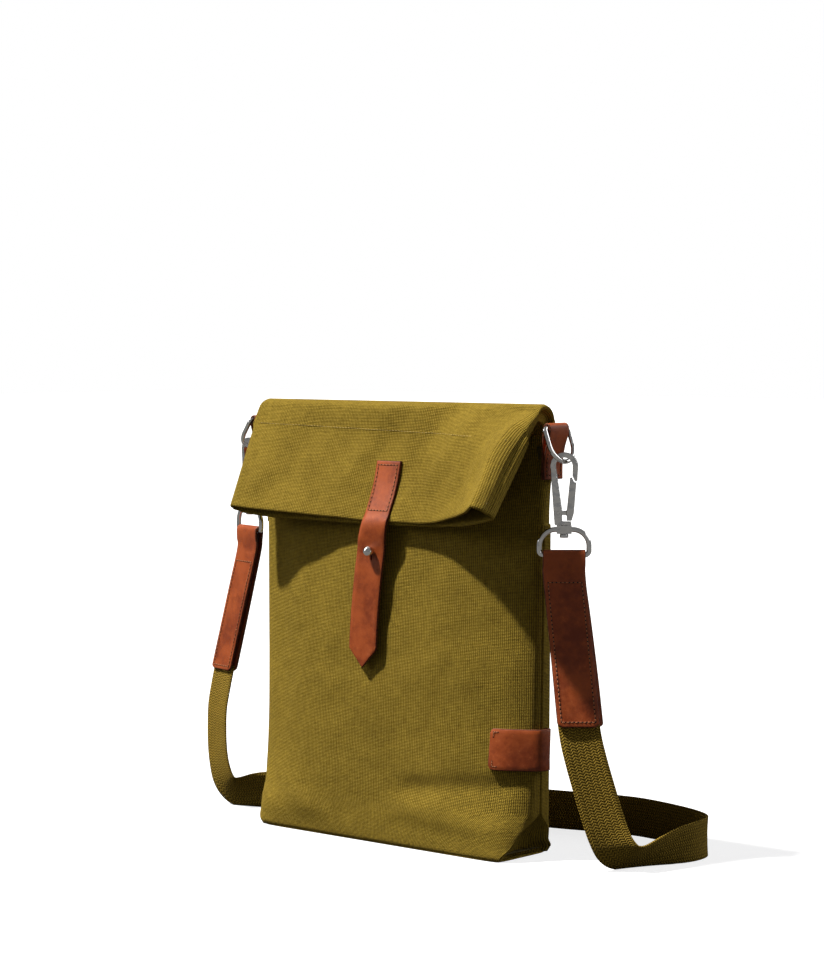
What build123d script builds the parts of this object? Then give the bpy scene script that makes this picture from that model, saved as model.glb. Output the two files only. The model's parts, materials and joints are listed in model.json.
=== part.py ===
from build123d import *
import os
from math import asin, cos, radians, sin

os.makedirs("parts", exist_ok=True)

# Frame: X to the wearer's left (right in a front view), front face towards -Y, +Z up,
# origin on the floor under the middle of the base. All sizes in millimetres.

# ---------------------------------------------------------------- driving dimensions
CANVAS = 1.3            # thickness of the canvas
FACING = 0.8            # thickness of the hem facing inside the mouth
LINING = 0.6            # thickness of the lining cloth
LEATHER = 1.8           # thickness of the leather trim
LAYER_GAP = 0.15        # gap between cloth layers that lie on each other

BASE_WIDTH = 239.0
BASE_DEPTH = 63.0
TOP_WIDTH = 283.0       # width of the flattened mouth
FOLD_HEIGHT = 334.0     # highest point of the folded top
SEAM_Y = -1.0           # plane of the two side seams
FOLD_RADIUS = 11.0      # outer radius of the rolled top
FOLD_Y = -1.0
FOLD_Z = FOLD_HEIGHT - FOLD_RADIUS
FOLD_ARC = 150.0        # degrees of roll, from the back wall over the top
WALL_TOP = 312.0        # the front wall's upper edge, under the fold

STRAP_WIDTH = 23.0      # closing strap
STRAP_HINGE = (-33.0, 246.3)
STUD_Z = 222.0
STUD_NECK_R = 2.0
STUD_BALL_R = 4.0
STUD_FLANGE_R = 4.5

WEB_WIDTH = 30.0        # shoulder strap webbing
WEB_THICK = 1.6
END_WIDTH = 31.0        # leather ends of the shoulder strap
END_LENGTH = 124.0
RING_WIRE_R = 1.9       # swivel ring under the hook
RING_HALF = 18.0        # half of the ring's width on its wire's centre line
RING_SHOULDER = 12.0
DEE_WIRE_R = 1.75       # D-ring on the bag
DEE_HALF = 13.75        # half of the D-ring's width on its wire's centre line
DEE_DROP = 25.7         # from the D-ring's bar to the bottom of its bow
DEE_BAR_X = 147.3
DEE_BAR_Z = 317.0

RUN_FIT = 0.05          # radial clearance of a pin in its hole


def save(builder, name):
    """Label a finished piece and write its STEP file."""
    builder.part.label = name
    export_step(builder.part, f"parts/{name}.step")


# ---------------------------------------------------------------- the sack's outline
# Each level gives z, the seam's half width, and three points of the right half of the
# front and of the back, from the seam towards the middle. The left half mirrors them.
# Every side bows a little, so that no three corners are in line.
LEVELS = [
    (0.0, BASE_WIDTH / 2 + 0.7,
     [(119.5, -30.4), (70, -31.3), (25, -31.5)], [(119.5, 30.4), (70, 31.3), (25, 31.5)]),
    (50.0, 136.5,
     [(118, -20), (70, -29.5), (25, -31.0)], [(128, 11), (70, 24), (25, 27)]),
    (150.0, 138.5,
     [(118, -14), (70, -25), (25, -28.5)], [(130, 8), (70, 17), (25, 20)]),
    (250.0, 140.0,
     [(120, -9), (70, -18), (25, -23.5)], [(132, 7), (70, 13), (25, 15)]),
    (WALL_TOP, 141.3,
     [(125, -2.4), (70, -3.2), (25, -3.5)], [(134, 7), (70, 9.6), (25, 10)]),
]
BACK_TOP = (322.0, 141.3,
            [(125, -2.4), (70, -3.2), (25, -3.5)], [(134, 7), (70, 9.6), (25, 10)])


def sack_points(level, inset):
    """Closed outline of the sack at one level, moved inwards by inset."""
    _, half, front, back = level
    right = [(half, SEAM_Y)] + back
    left = [(-x, y) for x, y in reversed(back)] + [(-half, SEAM_Y)]
    front_left = [(-x, y) for x, y in front]
    outline = right + left + front_left + list(reversed(front))
    return offset_outline(outline, inset)


def offset_outline(outline, inset):
    """Move each corner of a counter-clockwise outline inwards along its bisector."""
    moved = []
    for i, here in enumerate(outline):
        before = Vector(*outline[i - 1])
        after = Vector(*outline[(i + 1) % len(outline)])
        point = Vector(*here)
        into = (point - before).normalized()
        out = (after - point).normalized()
        normal_in = Vector(-into.Y, into.X)
        normal_out = Vector(-out.Y, out.X)
        bisector = (normal_in + normal_out).normalized()
        reach = inset / max(bisector.dot(normal_in), 0.5)
        moved.append((point.X + bisector.X * reach, point.Y + bisector.Y * reach))
    return moved


def level_at(z):
    """The sack's level at height z, between the two listed ones around it."""
    low, high = next((a, b) for a, b in zip(LEVELS, LEVELS[1:] + [BACK_TOP]) if z <= b[0])
    part = (z - low[0]) / (high[0] - low[0])

    def mix(a, b):
        return a + (b - a) * part

    def mix_points(first, second):
        return [(mix(a[0], b[0]), mix(a[1], b[1])) for a, b in zip(first, second)]

    return z, mix(low[1], high[1]), mix_points(low[2], high[2]), mix_points(low[3], high[3])


def sack_levels(bottom, top):
    """Levels from bottom to top, with the listed ones between them."""
    inner = [level for level in LEVELS if bottom < level[0] < top]
    return [level_at(bottom)] + inner + [level_at(top)]


def outline_face(plane, points):
    """A closed straight-sided face on a plane."""
    with BuildSketch(plane) as face:
        with BuildLine():
            Polyline(*points, close=True)
        make_face()
    return face.sketch


def sack_loft(levels, inset, mode=Mode.ADD):
    """A ruled loft through the sack's outline at the given levels."""
    faces = [outline_face(Plane.XY.offset(level[0]), sack_points(level, inset)) for level in levels]
    loft(faces, ruled=True, mode=mode)


def sack_skin(outer_inset, thickness, bottom, top):
    """A skin that follows the sack between two heights, as a finished part."""
    levels = sack_levels(bottom, top)
    with BuildPart() as skin:
        sack_loft(levels, outer_inset)
        sack_loft(levels, outer_inset + thickness, Mode.SUBTRACT)
    return skin.part


def keep_box(low, high):
    """Keep only what lies between two corners."""
    middle = [(a + b) / 2 for a, b in zip(low, high)]
    size = [b - a for a, b in zip(low, high)]
    with Locations(tuple(middle)):
        Box(*size, mode=Mode.INTERSECT)


FAR = 300.0             # larger than the object, for cutting boxes

# ---------------------------------------------------------------- body of the bag
STUD_PLANE = Plane(origin=(0, 0, STUD_Z), x_dir=(1, 0, 0), z_dir=(0, -1, 0))


def stud_hole(radius):
    """A hole for the stud's post, through the front only."""
    with BuildSketch(STUD_PLANE) as hole:
        Circle(radius)
    extrude(hole.sketch, amount=60, mode=Mode.SUBTRACT)


with BuildPart() as base_panel:
    with BuildSketch(Plane.XY):
        RectangleRounded(BASE_WIDTH, BASE_DEPTH, 3)
    extrude(amount=CANVAS)
save(base_panel, "base_panel")

with BuildPart() as front_panel:
    add(sack_skin(0, CANVAS, CANVAS, WALL_TOP))
    keep_box((-FAR, -FAR, 0), (FAR, SEAM_Y, FAR * 2))
    stud_hole(STUD_NECK_R + 0.3)
save(front_panel, "front_panel")

with BuildPart() as back_panel:
    add(sack_skin(0, CANVAS, CANVAS, BACK_TOP[0]))
    keep_box((-FAR, SEAM_Y, 0), (FAR, FAR, FAR * 2))
save(back_panel, "back_panel")

LINING_INSET = CANVAS + LAYER_GAP
with BuildPart() as lining:
    sack_loft(sack_levels(CANVAS + LAYER_GAP, WALL_TOP - 4), LINING_INSET)
    floor = CANVAS + LAYER_GAP + LINING
    sack_loft(sack_levels(floor, WALL_TOP - 4), LINING_INSET + LINING, Mode.SUBTRACT)
    stud_hole(STUD_NECK_R + 0.3)
save(lining, "lining")

POCKET_INSET = LINING_INSET + LINING + LAYER_GAP
with BuildPart() as inner_pocket:
    add(sack_skin(POCKET_INSET, LINING, 130, 262))
    keep_box((-72, SEAM_Y, 0), (72, FAR, FAR * 2))
save(inner_pocket, "inner_pocket")

# The slip pocket on the back: sewn down at its sides and base, open at the top.
POCKET_TOP = 247.0
POCKET_LEVELS = [
    (1.5, [(122.4, 20), (121.4, 32), (70, 33), (25, 33.2)]),
    (50.0, [(137.8, 1.6), (129.4, 13.4), (70, 27.5), (25, 30.5)]),
    (150.0, [(139.3, 1), (131.5, 11), (70, 24), (25, 27)]),
    (POCKET_TOP, [(140.7, 1), (134.5, 11), (70, 23), (25, 25.5)]),
]


def pocket_loft(bottom_up, thickness):
    """The pocket's wall between its outer outline and the same moved inwards."""
    faces = []
    for z, right in bottom_up:
        outer = right + [(-x, y) for x, y in reversed(right)]
        inner = [(x, y - thickness) for x, y in outer]
        inner[0] = (outer[0][0] - 0.4, outer[0][1] + 0.2)
        inner[-1] = (outer[-1][0] + 0.4, outer[-1][1] + 0.2)
        inner[1] = (outer[1][0] - thickness * 0.8, outer[1][1] - thickness * 0.6)
        inner[-2] = (outer[-2][0] + thickness * 0.8, outer[-2][1] - thickness * 0.6)
        faces.append(outline_face(Plane.XY.offset(z), outer + list(reversed(inner))))
    loft(faces, ruled=True)


with BuildPart() as rear_pocket:
    pocket_loft(POCKET_LEVELS, CANVAS)
save(rear_pocket, "rear_pocket")


# ---------------------------------------------------------------- leather label
LABEL_LEFT = 106.0
LABEL_LOW = 66.5
LABEL_HIGH = 97.5
with BuildPart() as leather_label:
    add(sack_skin(-LEATHER + 0.2, LEATHER - 0.4, LABEL_LOW, LABEL_HIGH))
    keep_box((LABEL_LEFT, -FAR, 0), (FAR, 0.6, FAR * 2))
save(leather_label, "leather_label")

# ---------------------------------------------------------------- closure stud
PANEL_Y = -25.4         # front of the panel at the stud


def stud_disc(radius, back, front):
    """A disc on the stud's axis, between two depths (y values)."""
    with BuildSketch(STUD_PLANE.offset(-back)) as disc:
        Circle(radius)
    extrude(disc.sketch, amount=back - front)


POST_BACK = -20.9
with BuildPart() as closure_stud:
    stud_disc(STUD_FLANGE_R, PANEL_Y, PANEL_Y - 1.1)
    stud_disc(STUD_NECK_R, POST_BACK, PANEL_Y - 9)
    with Locations((0, PANEL_Y - 12.2, STUD_Z)):
        Sphere(STUD_BALL_R)
    with BuildSketch(STUD_PLANE.offset(-POST_BACK)):
        Circle(1.2 + RUN_FIT)
    extrude(amount=7, mode=Mode.SUBTRACT)
save(closure_stud, "closure_stud")

with BuildPart() as stud_patch:
    stud_disc(9, POST_BACK, POST_BACK - 1.4)
    stud_hole(STUD_NECK_R + RUN_FIT)
save(stud_patch, "stud_patch")

with BuildPart() as stud_screw:
    stud_disc(STUD_FLANGE_R, POST_BACK + 1.1, POST_BACK + 0.05)
    stud_disc(1.2, POST_BACK + 0.1, POST_BACK - 6)
save(stud_screw, "stud_screw")

# ---------------------------------------------------------------- folded mouth
with BuildPart() as top_fold:
    with BuildSketch(Plane.YZ.offset(-TOP_WIDTH / 2)):
        with BuildLine():
            outer_arc = CenterArc((FOLD_Y, FOLD_Z), FOLD_RADIUS, 0, FOLD_ARC)
            inner_arc = CenterArc((FOLD_Y, FOLD_Z), FOLD_RADIUS - CANVAS, 0, FOLD_ARC)
            Line(outer_arc @ 0, inner_arc @ 0)
            Line(outer_arc @ 1, inner_arc @ 1)
        make_face()
    extrude(amount=TOP_WIDTH)
save(top_fold, "top_fold")

# Stations across the flap, from the left seam to the right one. Each gives x and the
# front of the outer layer and of the inner layer as (y, z) at the root, middle and edge.
FLAP_ROOT = (FOLD_Y - 9.9, FOLD_Z + 5.2)
FLAP_STATIONS = [
    (-141.5, [(-9.2, 324), (-22, 298), (-40, 252)], [(-7.4, 322), (-20.2, 297), (-38, 251)]),
    (-134, [FLAP_ROOT, (-25, 296), (-46, 253)], [(-6.5, 315), (-15, 294), (-34.5, 245)]),
    (-70, [FLAP_ROOT, (-19, 300), (-37, 249)], [(-5.2, 314), (-13, 294), (-29, 243)]),
    (0, [FLAP_ROOT, (-14, 300), (-29.8, 246.5)], [(-5.2, 314), (-11.2, 298), (-27.2, 243)]),
    (75, [FLAP_ROOT, (-23, 303), (-41, 252)], [(-5.2, 314), (-15, 294), (-31, 244.5)]),
    (134, [FLAP_ROOT, (-42, 306), (-74, 264)], [(-6.5, 315), (-27, 292), (-56, 252.5)]),
    (141.5, [(-9.2, 324), (-38, 301), (-66, 262)], [(-7.4, 322), (-35.4, 298.8), (-63.6, 259.6)]),
]


def layer_section(line, back, thickness):
    """A cloth layer's section: its line moved towards the body, then thickened."""
    below = Vector(0, 0.9, -0.3).normalized()
    front = [(y + below.Y * back, z + below.Z * back) for y, z in line]
    behind = [(y + below.Y * thickness, z + below.Z * thickness) for y, z in front]
    return front + list(reversed(behind))


def flap_layer(which, back, thickness, stations, root=0.0):
    """A cloth layer of the flap, lofted across its stations."""
    faces = []
    for x, outer, inner in stations:
        line = list((outer, inner)[which])
        first = Vector(*line[0])
        line[0] = tuple(first + (Vector(*line[1]) - first) * root)[:2]
        faces.append(outline_face(Plane.YZ.offset(x), layer_section(line, back, thickness)))
    loft(faces, ruled=True)


with BuildPart() as flap_outer:
    flap_layer(0, 0, CANVAS, FLAP_STATIONS)
save(flap_outer, "flap_outer")

with BuildPart() as flap_inner:
    flap_layer(1, 0, CANVAS, FLAP_STATIONS)
save(flap_inner, "flap_inner")

FACING_STATIONS = FLAP_STATIONS[1:-1]
with BuildPart() as mouth_facing:
    flap_layer(0, CANVAS + LAYER_GAP, FACING, FACING_STATIONS, root=0.6)
save(mouth_facing, "mouth_facing")

# ---------------------------------------------------------------- closing strap
ANCHOR_TOP = 289.0
STRAP_TIP = 133.5
HINGE_Y, HINGE_Z = STRAP_HINGE
with BuildPart() as strap_anchor:
    with BuildSketch(Plane.YZ.offset(-STRAP_WIDTH / 2)):
        with BuildLine():
            Polyline((HINGE_Y + 13.4, ANCHOR_TOP), (HINGE_Y + 1.2, HINGE_Z + 0.7),
                     (HINGE_Y - 0.9, HINGE_Z + 0.2), (HINGE_Y + 11.3, ANCHOR_TOP - 0.6), close=True)
        make_face()
    extrude(amount=STRAP_WIDTH)
save(strap_anchor, "strap_anchor")

STRAP_THICK = 2.2
with BuildPart() as closing_strap:
    back_line = [(HINGE_Y + 0.9, HINGE_Z - 1.3), (HINGE_Y + 0.7, 215), (HINGE_Y - 6.5, STRAP_TIP)]
    front_line = [(y - STRAP_THICK, z) for y, z in reversed(back_line)]
    with BuildSketch(Plane.YZ.offset(-20)):
        with BuildLine():
            Polyline(*back_line, *front_line, close=True)
        make_face()
    extrude(amount=40)
    with BuildSketch(STUD_PLANE):
        half = STRAP_WIDTH / 2
        with BuildLine():
            Polyline((-half, 30), (half, 30), (half + 0.7, -71), (0, STRAP_TIP - STUD_Z),
                     (-half - 0.7, -71), close=True)
        make_face()
        with Locations((0, -3.5)):
            SlotCenterToCenter(7, 10.8, rotation=90, mode=Mode.SUBTRACT)
    extrude(amount=60, mode=Mode.INTERSECT)
save(closing_strap, "closing_strap")


# ---------------------------------------------------------------- shoulder strap hardware
class Side:
    """Where the strap's parts hang on one side of the bag."""

    def __init__(self, name, sign, dee_y, hook_x, hook_y, hook_turn, ring_turn, lean, sway):
        self.name = name
        self.sign = sign                # +1 on the +X side
        self.dee_y = dee_y              # middle of the D-ring's bar
        self.hook = (hook_x, hook_y)    # the hook's swivel axis
        self.hook_turn = hook_turn      # heading of the hook's flat, in degrees
        self.ring_turn = ring_turn      # heading of the ring's bar, in degrees
        self.lean = lean                # how far the leather end leans along its face
        self.sway = sway                # how far the leather end shifts along its width
        self.tilt = asin((abs(hook_x) - DEE_BAR_X) / DEE_DROP)
        self.bow_z = DEE_BAR_Z - DEE_DROP * cos(self.tilt)
        self.bar_z = self.bow_z + RING_BAR_Z

    def upright(self, turn):
        """A vertical plane on the hook's axis, level with the D-ring's bow."""
        heading = Vector(cos(radians(turn)), sin(radians(turn)), 0)
        facing = Vector(heading.Y, -heading.X, 0)
        return Plane(origin=(*self.hook, self.bow_z), x_dir=heading, z_dir=facing)

    def end_frame(self):
        """The ring's bar, and the leather end's width, up and thickness directions."""
        plane = self.upright(self.ring_turn)
        along = plane.z_dir * self.lean - Vector(0, 0, 1) * (END_LENGTH ** 2 - self.lean ** 2) ** 0.5
        up = -along.normalized()
        return Vector(*self.hook, self.bar_z), plane.x_dir, up, up.cross(plane.x_dir)


RING_BAR_Z = -67.4      # ring's bar, below the D-ring's bow
SIDES = [
    Side("right", 1, 1.8, 156, 0.3, 30, 41, 25, 9.5),
    Side("left", -1, 1.0, -161.5, 0.5, -16, -16, 6, -31),
]

TAB_WIDTH = 22.0
TAB_THICK = 1.5
TAB_LOW = 280.0
TAB_X = 142.0           # the tab's face on the bag's side


def dee_tab(side):
    """A leather strip folded round the D-ring's bar and sewn to the bag's side."""
    hole = DEE_WIRE_R + 0.2
    rim = hole + TAB_THICK
    bar = DEE_BAR_X
    fold = TAB_X + TAB_THICK
    with BuildPart() as tab:
        with BuildSketch(Plane.XZ.offset(-side.dee_y - TAB_WIDTH / 2)) as profile:
            with Locations((bar, DEE_BAR_Z)):
                Circle(rim)
            with BuildLine():
                Polyline((bar - rim, DEE_BAR_Z), (bar + rim, DEE_BAR_Z), (fold + TAB_THICK + 0.1, 301),
                         (fold + TAB_THICK + 0.1, TAB_LOW), (fold + 0.1, TAB_LOW), (fold + 0.1, 302),
                         (fold, 303), (fold, TAB_LOW), (TAB_X, TAB_LOW), (TAB_X, 303), close=True)
            make_face()
            with BuildLine():
                Polyline((bar - hole, DEE_BAR_Z), (bar + hole, DEE_BAR_Z), (fold + 0.1, 302),
                         (fold, 303), close=True)
            make_face(mode=Mode.SUBTRACT)
            with Locations((bar, DEE_BAR_Z)):
                Circle(hole, mode=Mode.SUBTRACT)
        extrude(amount=TAB_WIDTH)
        if side.sign < 0:
            mirror(about=Plane.YZ, mode=Mode.REPLACE)
    save(tab, f"{side.name}_dee_tab")


def dee_ring(side):
    """Round wire bent to a D: a straight bar and a deep bow."""
    lean = side.tilt * side.sign
    plane = Plane(origin=(DEE_BAR_X * side.sign, side.dee_y, DEE_BAR_Z), x_dir=(0, 1, 0),
                  z_dir=(cos(lean), 0, sin(lean)))
    shoulder = DEE_HALF - DEE_DROP
    with BuildPart() as ring:
        with BuildLine(plane) as path:
            bar = Line((-DEE_HALF + 2.5, 0), (DEE_HALF - 2.5, 0))
            corner = TangentArc(bar @ 1, (DEE_HALF, -2.5), tangent=bar % 1)
            leg = Line(corner @ 1, (DEE_HALF, shoulder))
            bow = ThreePointArc(leg @ 1, (0, -DEE_DROP), (-DEE_HALF, shoulder))
            back = Line(bow @ 1, (-DEE_HALF, -2.5))
            TangentArc(back @ 1, bar @ 0, tangent=back % 1)
        with BuildSketch(Plane(origin=bar @ 0, z_dir=bar % 0)):
            Circle(DEE_WIRE_R)
        sweep(path=path.wires()[0])
    save(ring, f"{side.name}_dee_ring")


HOOK_THICK = 4.0
CROWN_Z = -3.2          # crown's centre, below the D-ring's bow
CROWN_IN = 6.2
CROWN_OUT = 10.0
GATE_PIN = (-4.2, -37.0)
GATE_PIN_R = 1.0
BLOCK_Z = -45.8         # underside of the hook's block
BOSS_TOP = -46.0
BOSS_LOW = -52.0
STEM_R = 1.7


def hook_body(side):
    """Crown, spine, nose and block of the snap hook, with its swivel stem and head."""
    flat = side.upright(side.hook_turn)
    with BuildPart() as body:
        with BuildSketch(flat):
            with Locations((0, CROWN_Z)):
                Circle(CROWN_OUT)
                Circle(CROWN_IN, mode=Mode.SUBTRACT)
            with Locations((0, CROWN_Z - 20)):
                Rectangle(60, 40, mode=Mode.SUBTRACT)
            with BuildLine():
                Polyline((-CROWN_OUT, CROWN_Z), (-CROWN_IN, CROWN_Z), (-1.6, -35), (-1.6, -43.1),
                         (5.1, -43.1), (5.1, BLOCK_Z), (-6.8, BLOCK_Z), close=True)
            make_face()
            with BuildLine():
                Polyline((CROWN_IN, CROWN_Z), (CROWN_OUT, CROWN_Z), (9.3, -14), (7.9, -14),
                         (6.1, -10), close=True)
            make_face()
            with Locations(GATE_PIN):
                Circle(GATE_PIN_R, mode=Mode.SUBTRACT)
        extrude(amount=HOOK_THICK / 2, both=True)
        with BuildSketch(flat):
            with Locations((GATE_PIN[0], GATE_PIN[1])):
                Rectangle(9, 6.2)
        extrude(amount=1.15, both=True, mode=Mode.SUBTRACT)
        level = Plane(origin=(*side.hook, side.bow_z))
        with BuildSketch(level.offset(BLOCK_Z + 0.5)):
            Circle(STEM_R)
        extrude(amount=BLOCK_Z - BOSS_LOW + 1, dir=(0, 0, -1))
        with BuildSketch(level.offset(BOSS_LOW - 0.2)):
            Circle(3.2)
        extrude(amount=2.8, dir=(0, 0, -1))
    save(body, f"{side.name}_hook_body")


def hook_gate(side):
    """The sprung gate: a plate on the nose's side and a tongue to its pin."""
    flat = side.upright(side.hook_turn)
    with BuildPart() as gate:
        with BuildSketch(flat):
            with BuildLine():
                Polyline((5.3, -11.2), (7.2, -14.9), (8.7, -14.9), (7.0, -37), (5.4, -42.6),
                         (2.0, -42.6), (1.9, -36), (4.3, -11.4), close=True)
            make_face()
        extrude(amount=1.7, both=True)
        with BuildSketch(flat):
            with Locations(GATE_PIN):
                Circle(2.3)
            with Locations((-0.4, GATE_PIN[1])):
                Rectangle(7.6, 3.2)
            with Locations(GATE_PIN):
                Circle(GATE_PIN_R + RUN_FIT, mode=Mode.SUBTRACT)
        extrude(amount=0.95, both=True)
    save(gate, f"{side.name}_hook_gate")

    with BuildPart() as pin:
        with BuildSketch(flat):
            with Locations(GATE_PIN):
                Circle(GATE_PIN_R)
        extrude(amount=HOOK_THICK / 2, both=True)
    save(pin, f"{side.name}_gate_pin")

    with BuildPart() as spring:
        with BuildSketch(flat):
            with Locations((GATE_PIN[0], GATE_PIN[1] - 2.8)):
                Rectangle(4.4, 0.6)
        extrude(amount=0.9, both=True)
    save(spring, f"{side.name}_gate_spring")


def swivel_ring(side):
    """The ring under the hook: a round-shouldered wire loop with a bored boss."""
    flat = side.upright(side.ring_turn)
    boss_z = (BOSS_TOP + BOSS_LOW) / 2
    with BuildPart() as ring:
        with BuildLine(flat) as path:
            bar = Line((-RING_HALF + 3, RING_BAR_Z), (RING_HALF - 3, RING_BAR_Z))
            corner = TangentArc(bar @ 1, (RING_HALF, RING_BAR_Z + 3), tangent=bar % 1)
            side_up = Line(corner @ 1, (RING_HALF, boss_z - RING_SHOULDER))
            shoulder = TangentArc(side_up @ 1, (RING_HALF - RING_SHOULDER, boss_z),
                                  tangent=side_up % 1)
            top = Line(shoulder @ 1, (RING_SHOULDER - RING_HALF, boss_z))
            turn = TangentArc(top @ 1, (-RING_HALF, boss_z - RING_SHOULDER), tangent=top % 1)
            side_down = Line(turn @ 1, (-RING_HALF, RING_BAR_Z + 3))
            TangentArc(side_down @ 1, bar @ 0, tangent=side_down % 1)
        with BuildSketch(Plane(origin=bar @ 0, z_dir=bar % 0)):
            Circle(RING_WIRE_R)
        sweep(path=path.wires()[0])
        with BuildSketch(flat):
            with Locations((0, boss_z)):
                Rectangle(10.6, BOSS_TOP - BOSS_LOW)
        extrude(amount=3, both=True)
        with BuildSketch(Plane(origin=(*side.hook, side.bow_z + BOSS_LOW - 1))):
            Circle(STEM_R + RUN_FIT)
        extrude(amount=8, mode=Mode.SUBTRACT)
    save(ring, f"{side.name}_swivel_ring")


def end_outline(side, half, high, low):
    """The leather end's face, which shifts sideways below its fold."""
    def at(y, x):
        below = max(-y - FOLD_END, 0) / (END_LENGTH - FOLD_END)
        return (x + side.sway * below, y)
    left = [at(high, -half), at(min(high, -FOLD_END) - 0.1, -half), at(low, -half)]
    return left + [at(low, half), at(min(high, -FOLD_END) - 0.1, half), at(high, half)]


FOLD_END = 16.0         # the leather's layers meet this far below the ring's bar


def leather_end(side):
    """Leather folded round the ring's bar, with the webbing's end between its layers."""
    bar, width, up, out = side.end_frame()
    section = Plane(origin=bar, x_dir=up.cross(width), z_dir=width)
    face = Plane(origin=bar, x_dir=width, z_dir=width.cross(up))
    hole = RING_WIRE_R + 0.1
    rim = hole + LEATHER
    fold = WEB_THICK / 2 + 0.2
    low = -END_LENGTH
    with BuildPart() as leather:
        with BuildSketch(section):
            with BuildLine():
                Polyline((-rim, 0), (rim, 0), (fold + LEATHER, -FOLD_END), (fold + LEATHER, low),
                         (-fold - LEATHER, low), (-fold - LEATHER, -FOLD_END), close=True)
            make_face()
            Circle(rim)
            with BuildLine():
                Polyline((-hole, 0), (hole, 0), (fold, -FOLD_END), (fold, low), (-fold, low),
                         (-fold, -FOLD_END), close=True)
            make_face(mode=Mode.SUBTRACT)
            Circle(hole, mode=Mode.SUBTRACT)
        extrude(amount=60, both=True)
        cut = outline_face(face, end_outline(side, END_WIDTH / 2, 8, low))
        extrude(cut, amount=20, both=True, mode=Mode.INTERSECT)
    save(leather, f"{side.name}_strap_end")

    with BuildPart() as sandwiched:
        sheet = outline_face(face, end_outline(side, WEB_WIDTH / 2, -20, low))
        extrude(sheet, amount=WEB_THICK / 2, both=True)
    save(sandwiched, f"{side.name}_webbing_end")

    with BuildPart() as thread:
        outer = outline_face(face, end_outline(side, END_WIDTH / 2 - 3.2, -27, low + 3.5))
        inner = outline_face(face, end_outline(side, END_WIDTH / 2 - 4, -27.8, low + 4.3))
        reach = fold + LEATHER
        extrude(outer, amount=reach + 0.3, both=True)
        extrude(inner, amount=reach + 1, both=True, mode=Mode.SUBTRACT)
        middle = outline_face(face, end_outline(side, END_WIDTH, 8, low - 9))
        extrude(middle, amount=reach, both=True, mode=Mode.SUBTRACT)
    save(thread, f"{side.name}_strap_end_thread")


for one_side in SIDES:
    dee_tab(one_side)
    dee_ring(one_side)
    hook_body(one_side)
    hook_gate(one_side)
    swivel_ring(one_side)
    leather_end(one_side)

# ---------------------------------------------------------------- shoulder strap webbing
# Route points of the webbing: where its middle runs, and which way its width points.
# It drops from each leather end, turns onto its edge on the floor and passes behind.
LONG_ROUTE = [
    ((180, -12.5, 100.4), (0.755, 0.656, 0)),
    ((185, -11, 80), (0.76, 0.65, 0)),
    ((192, -7.5, 54), (0.77, 0.64, 0.02)),
    ((198.5, -3, 33), (0.78, 0.62, 0.06)),
    ((204, 2, 18.5), (0.8, 0.55, 0.2)),
    ((209, 13, 11.5), (0.8, 0.35, 0.5)),
    ((214, 32, 12.5), (0.6, 0, 0.8)),
    ((218.5, 53, 14.9), (0.25, 0, 0.97)),
    ((220.5, 72, 15.6), (0.05, 0, 1)),
    ((217, 90, 15.6), (0, 0, 1)),
    ((205, 103, 15.6), (0, 0, 1)),
    ((186, 110, 15.6), (0, 0, 1)),
    ((160, 117, 15.6), (0, 0, 1)),
    ((130, 121, 15.6), (0, 0, 1)),
    ((98, 113, 15.6), (0, 0, 1)),
    ((65, 103, 15.6), (0, 0, 1)),
    ((30, 97, 15.6), (0, 0, 1)),
    ((-5, 94, 15.6), (0, 0, 1)),
    ((-38, 91.5, 16.5), (0, 0, 1)),
    ((-66, 87, 18.6), (0, 0, 1)),
    ((-88, 79.6, 18.6), (0, 0, 1)),
    ((-112, 71.4, 18.6), (0, 0, 1)),
    ((-134, 58.5, 15.8), (0, 0, 1)),
    ((-152, 44.5, 15.8), (0, 0, 1)),
    ((-164, 33.5, 15.8), (0, 0, 1)),
]
SHORT_ROUTE = [
    ((-193.8, 3.1, 101.5), (0.961, -0.276, 0)),
    ((-196.5, 2.2, 82), (0.961, -0.276, 0.02)),
    ((-197, 2, 60), (0.961, -0.276, 0.04)),
    ((-194.5, 3.8, 39), (0.95, -0.25, 0.15)),
    ((-187.5, 8.5, 22), (0.9, -0.15, 0.4)),
    ((-178, 13.5, 14.2), (0.7, 0, 0.7)),
    ((-165, 22.5, 15.3), (0.35, 0.1, 0.93)),
    ((-150, 36, 15.8), (0.05, 0.05, 1)),
    ((-132, 51.5, 15.8), (0, 0, 1)),
    ((-116, 63, 17), (0, 0, 1)),
    ((-103.2, 70.4, 18.4), (0, 0, 1)),
]


def ribbon(route, width, thickness):
    """A flat strip, lofted through a rectangle at each route point."""
    faces = []
    for i, (point, across) in enumerate(route):
        before = Vector(*route[max(i - 1, 0)][0])
        after = Vector(*route[min(i + 1, len(route) - 1)][0])
        along = (after - before).normalized()
        across = Vector(*across)
        across = (across - along * across.dot(along)).normalized()
        with BuildSketch(Plane(origin=point, x_dir=across, z_dir=along)) as section:
            Rectangle(width, thickness)
        faces.append(section.sketch)
    for first, second in zip(faces, faces[1:]):
        loft([first, second], ruled=True)


def route_length(route):
    """Length of the line through a route's points."""
    points = [Vector(*point) for point, _ in route]
    return sum((b - a).length for a, b in zip(points, points[1:]))


with BuildPart() as webbing_long:
    ribbon(LONG_ROUTE, WEB_WIDTH, WEB_THICK)
save(webbing_long, "webbing_long")

with BuildPart() as webbing_short:
    ribbon(SHORT_ROUTE, WEB_WIDTH, WEB_THICK)
save(webbing_short, "webbing_short")

for ribbon_name, ribbon_route in (("webbing_long", LONG_ROUTE), ("webbing_short", SHORT_ROUTE)):
    print(ribbon_name, "length", round(route_length(ribbon_route)))

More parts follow.
